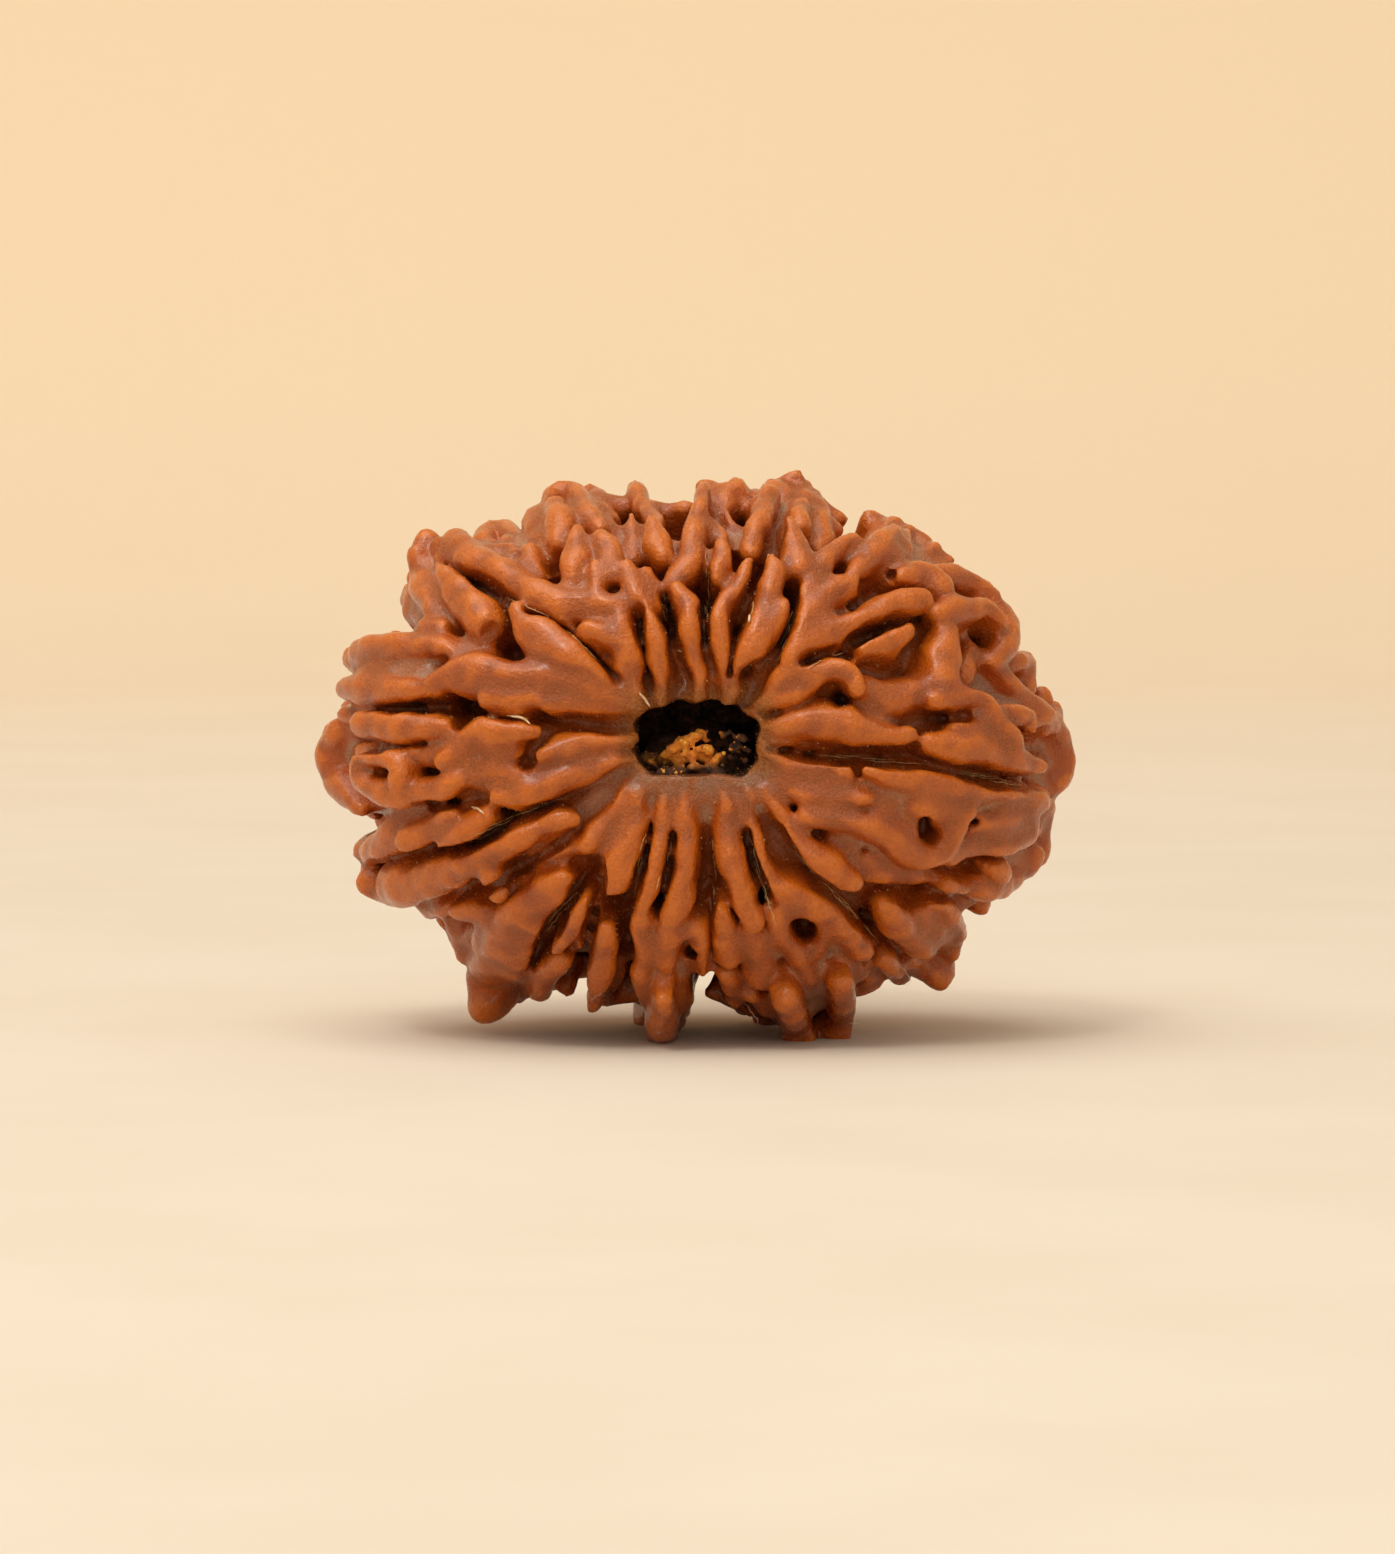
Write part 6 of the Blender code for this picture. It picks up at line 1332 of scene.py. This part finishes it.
def runs_mesh(name, runs):
    """Bare runs of edges, for the nodes to grow threads along."""
    mesh = bpy.data.meshes.new(name)
    places = []
    links = []
    for run in runs:
        start = len(places)
        places += [tuple(p) for p in run]
        links += [(k, k + 1) for k in range(start, start + len(run) - 1)]
    mesh.from_pydata(places, links, [])
    return mesh


def thread_look(name, pale, dark, rough):
    """The finish of a dry thread or crumb, streaked from pale to dark."""
    material, tree, shader = new_material(name)
    place = millimetres(tree)
    streak = mottle(tree, place, 3.0, 3.0, 0.6)
    colour = blend(tree, ease(tree, streak, 0.35, 0.65), pale, dark)
    dull = ease(tree, streak, 0.3, 0.7, rough, rough + 0.15)
    finish_skin(tree, shader, colour, dull, mottle(tree, place, 14.0, 2.0), 0.3, 0.00002)
    return material


straws = random.Random(SEED + 2)
runs = []
for thickness, count, course in SEAMS:
    for _ in range(count):
        begin = straws.uniform(0.0, 0.55)
        stop = begin + straws.uniform(0.2, 0.45)
        off = Vector((straws.uniform(-0.12, 0.12), 0.0, straws.uniform(-0.12, 0.12)))
        smooth = smooth_run([(x, z, 0.0) for x, z in course], 0.2)
        last = len(smooth) - 1
        chosen = smooth[int(begin * last):max(int(min(stop, 1.0) * last), int(begin * last) + 3)]
        hits = [hit for hit in (on_face(x + off.x, z + off.z) for x, z, _ in chosen) if hit is not None]
        if len(hits) < 3:
            continue
        for _ in range(4):
            inner = [(a + b * 2 + c) / 4 for a, b, c in zip(hits, hits[1:], hits[2:])]
            hits = [hits[0]] + inner + [hits[-1]]
        runs.append([hit + (eye - hit).normalized() * straws.uniform(0.00005, 0.00025) for hit in hits])
straw = thread_look("Husk straw", shade(214, 176, 118), shade(168, 118, 62), 0.45)
grower = thread_grower()
husk_fibres = grown("husk_fibres", runs_mesh("husk_fibres", runs), grower,
                    (("Thickness", 0.05), ("Wander", 0.22), ("Step", 0.1), ("Finish", straw)))
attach(husk_fibres, "root")

# Splinters. Short, stiffer slivers of husk that stand out pale, at the mouth's corner, on the left lobes and
# between the upper fingers. They are broken ends of the same fibres, wedged in the skin.
runs = []
for course in (((-2.45, 2.05), (-2.2, 1.75), (-1.98, 1.42)), ((-9.5, -2.75), (-9.2, -2.85), (-8.95, -3.05)),
               ((-7.9, 1.05), (-7.4, 1.0), (-7.0, 0.72)), ((2.2, 5.3), (2.15, 5.0)),
               ((0.3, 5.7), (0.35, 5.3))):
    hits = [on_face(x, z) for x, z in course]
    runs.append([hit + (eye - hit).normalized() * (0.00012 + 0.00012 * k) for k, hit in enumerate(hits)])
sliver = thread_look("Pale splinter", shade(236, 214, 176), shade(206, 160, 104), 0.4)
splinters = grown("husk_splinters", runs_mesh("husk_splinters", runs), grower,
                  (("Thickness", 0.12), ("Wander", 0.12), ("Step", 0.08), ("Finish", sliver)))
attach(splinters, "root")

# Lint. Fine cotton threads from the cloth that the bead lay on, caught on the low tips and between the
# fingers, from which they hang and curl.
runs = []
lint_draw = random.Random(SEED + 3)
for x, z, drop in ((1.9, -11.5, 0.9), (8.3, -9.8, 1.0), (-1.5, -12.7, 0.5), (3.2, -12.4, 0.6),
                   (4.6, -12.4, 0.5), (6.3, -12.4, 0.6), (-3.9, -11.0, 0.5), (0.8, -10.9, 0.7),
                   (-8.4, -11.2, 0.5)):
    start = on_face(x, z + 0.5)
    if start is None:
        continue
    side = Vector((lint_draw.uniform(-0.6, 0.6), -0.25, -drop)) * MM
    bend = Vector((lint_draw.uniform(-0.5, 0.5), -0.3, 0.1)) * MM
    run = [start, start + side * 0.4 + bend * 0.7, start + side * 0.8 + bend, start + side + bend * 0.4]
    runs.append([Vector((p.x, p.y, max(p.z, 0.7 * MM))) for p in run])
lint_white = thread_look("Cotton lint", shade(232, 222, 206), shade(206, 192, 172), 0.7)
lint = grown("lint", runs_mesh("lint", runs), grower,
             (("Thickness", 0.022), ("Wander", 0.5), ("Step", 0.1), ("Finish", lint_white)))
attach(lint, "root")

# Dust grains. Crumbs of dry husk that lodged in the seams and round the mouth. They are laid by nodes, where
# the skin is sheltered, and lie loose on it.
points, normals, edges = skin_arrays(stone.data)
closed_in = np.empty(len(points), np.float32)
stone.data.attributes["shelter"].data.foreach_get("value", closed_in)
place = (points - np.array(centring)) / MM
front = step(-place[:, 1], 1.0, 4.0)
lodged = step(closed_in, 0.42, 0.6) * (1.0 - step(closed_in, 0.68, 0.78)) * (0.3 + 0.7 * front)
lodged += 0.8 * step(-past_mouth(place), -2.2, -0.8) * front * step(closed_in, 0.05, 0.3)
note(stone.data, "lodged", np.clip(lodged, 0.0, 1.0))
dust_look = thread_look("Husk dust", shade(206, 160, 106), shade(150, 96, 52), 0.8)
dust_grains = grown("dust_grains", bpy.data.meshes.new("dust_grains"), scatter, (
    ("Surface", stone), ("Crumbs to the square millimetre", 2.2), ("Smallest", 0.018), ("Largest", 0.05),
    ("Seed", 8), ("Where", "lodged"), ("Finish", dust_look)))
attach(dust_grains, "root")

# Table, backdrop and light. A pale, matt sheet that rises behind the bead in one soft bend. A large soft
# light and a small, crisper one hang above it, and a weaker one stands in front.
shape = bmesh.new()
profile = [(-0.9, 0.0), (0.25, 0.0)]
for k in range(1, 25):
    turn = math.pi / 2 * k / 24
    profile.append((0.25 + 0.3 * math.sin(turn), 0.3 - 0.3 * math.cos(turn)))
profile.append((0.55, 1.2))
rows = [[shape.verts.new((x, y, z)) for x in (-1.2, 1.2)] for y, z in profile]
for one, two in zip(rows, rows[1:]):
    shape.faces.new((one[0], one[1], two[1], two[0]))
sheet = as_object("sheet", shape, room)
sheet.data.polygons.foreach_set("use_smooth", [True] * len(sheet.data.polygons))
paper, tree, shader = new_material("Pale sheet")
place = millimetres(tree)
cloud = mottle(tree, place, 0.05, 3.0, 0.5)
behind = add_node(tree, "ShaderNodeSeparateXYZ", ((0, place),)).outputs["Y"]
floor_side = blend(tree, ease(tree, cloud, 0.3, 0.7), shade(218, 206, 188), shade(215, 202, 183))
colour = blend(tree, ease(tree, behind, 60.0, 420.0), floor_side, shade(243, 219, 184))
tree.links.new(colour, shader.inputs["Base Color"])
shader.inputs["Roughness"].default_value = 0.9
inputs = (("Strength", 0.1), ("Distance", 0.0001), ("Height", mottle(tree, place, 1.2, 4.0, 0.6)))
bump = add_node(tree, "ShaderNodeBump", inputs)
tree.links.new(bump.outputs["Normal"], shader.inputs["Normal"])
sheet.data.materials.append(paper)


def soft_light(name, place, size, power, colour):
    """A large square light that points at the bead."""
    lamp = bpy.data.lights.new(name, "AREA")
    lamp.size = size
    lamp.energy = power
    lamp.color = colour
    made = bpy.data.objects.new(name, lamp)
    room.objects.link(made)
    made.location = place
    made.rotation_euler = (Vector((0.0, 0.0, 0.012)) - Vector(place)).to_track_quat("-Z", "Y").to_euler()


soft_light("overhead light", (-0.12, -0.08, 0.50), 0.55, 2.3, (1.0, 0.96, 0.90))
soft_light("window light", (-0.14, -0.24, 0.46), 0.09, 0.42, (1.0, 0.96, 0.90))
soft_light("front light", (0.10, -0.80, 0.35), 0.5, 0.55, (1.0, 0.96, 0.90))
world = bpy.data.worlds.new("room light")
bpy.context.scene.world = world
world.use_nodes = True
sky = world.node_tree.nodes.get("Background") or world.node_tree.nodes.new("ShaderNodeBackground")
sky.inputs["Color"].default_value = (1.0, 0.94, 0.85, 1.0)
sky.inputs["Strength"].default_value = 0.56
bpy.context.scene.view_settings.view_transform = "Standard"

camera = bpy.data.cameras.new("camera")
camera.lens = 193.4
camera.sensor_width = 36.0
camera.shift_y = -0.0232
camera.clip_start = 0.01
camera.clip_end = 10.0
eye_object = bpy.data.objects.new("camera", camera)
room.objects.link(eye_object)
eye_object.location = eye
eye_object.rotation_euler = (mouth - eye).to_track_quat("-Z", "Y").to_euler()
bpy.context.scene.camera = eye_object
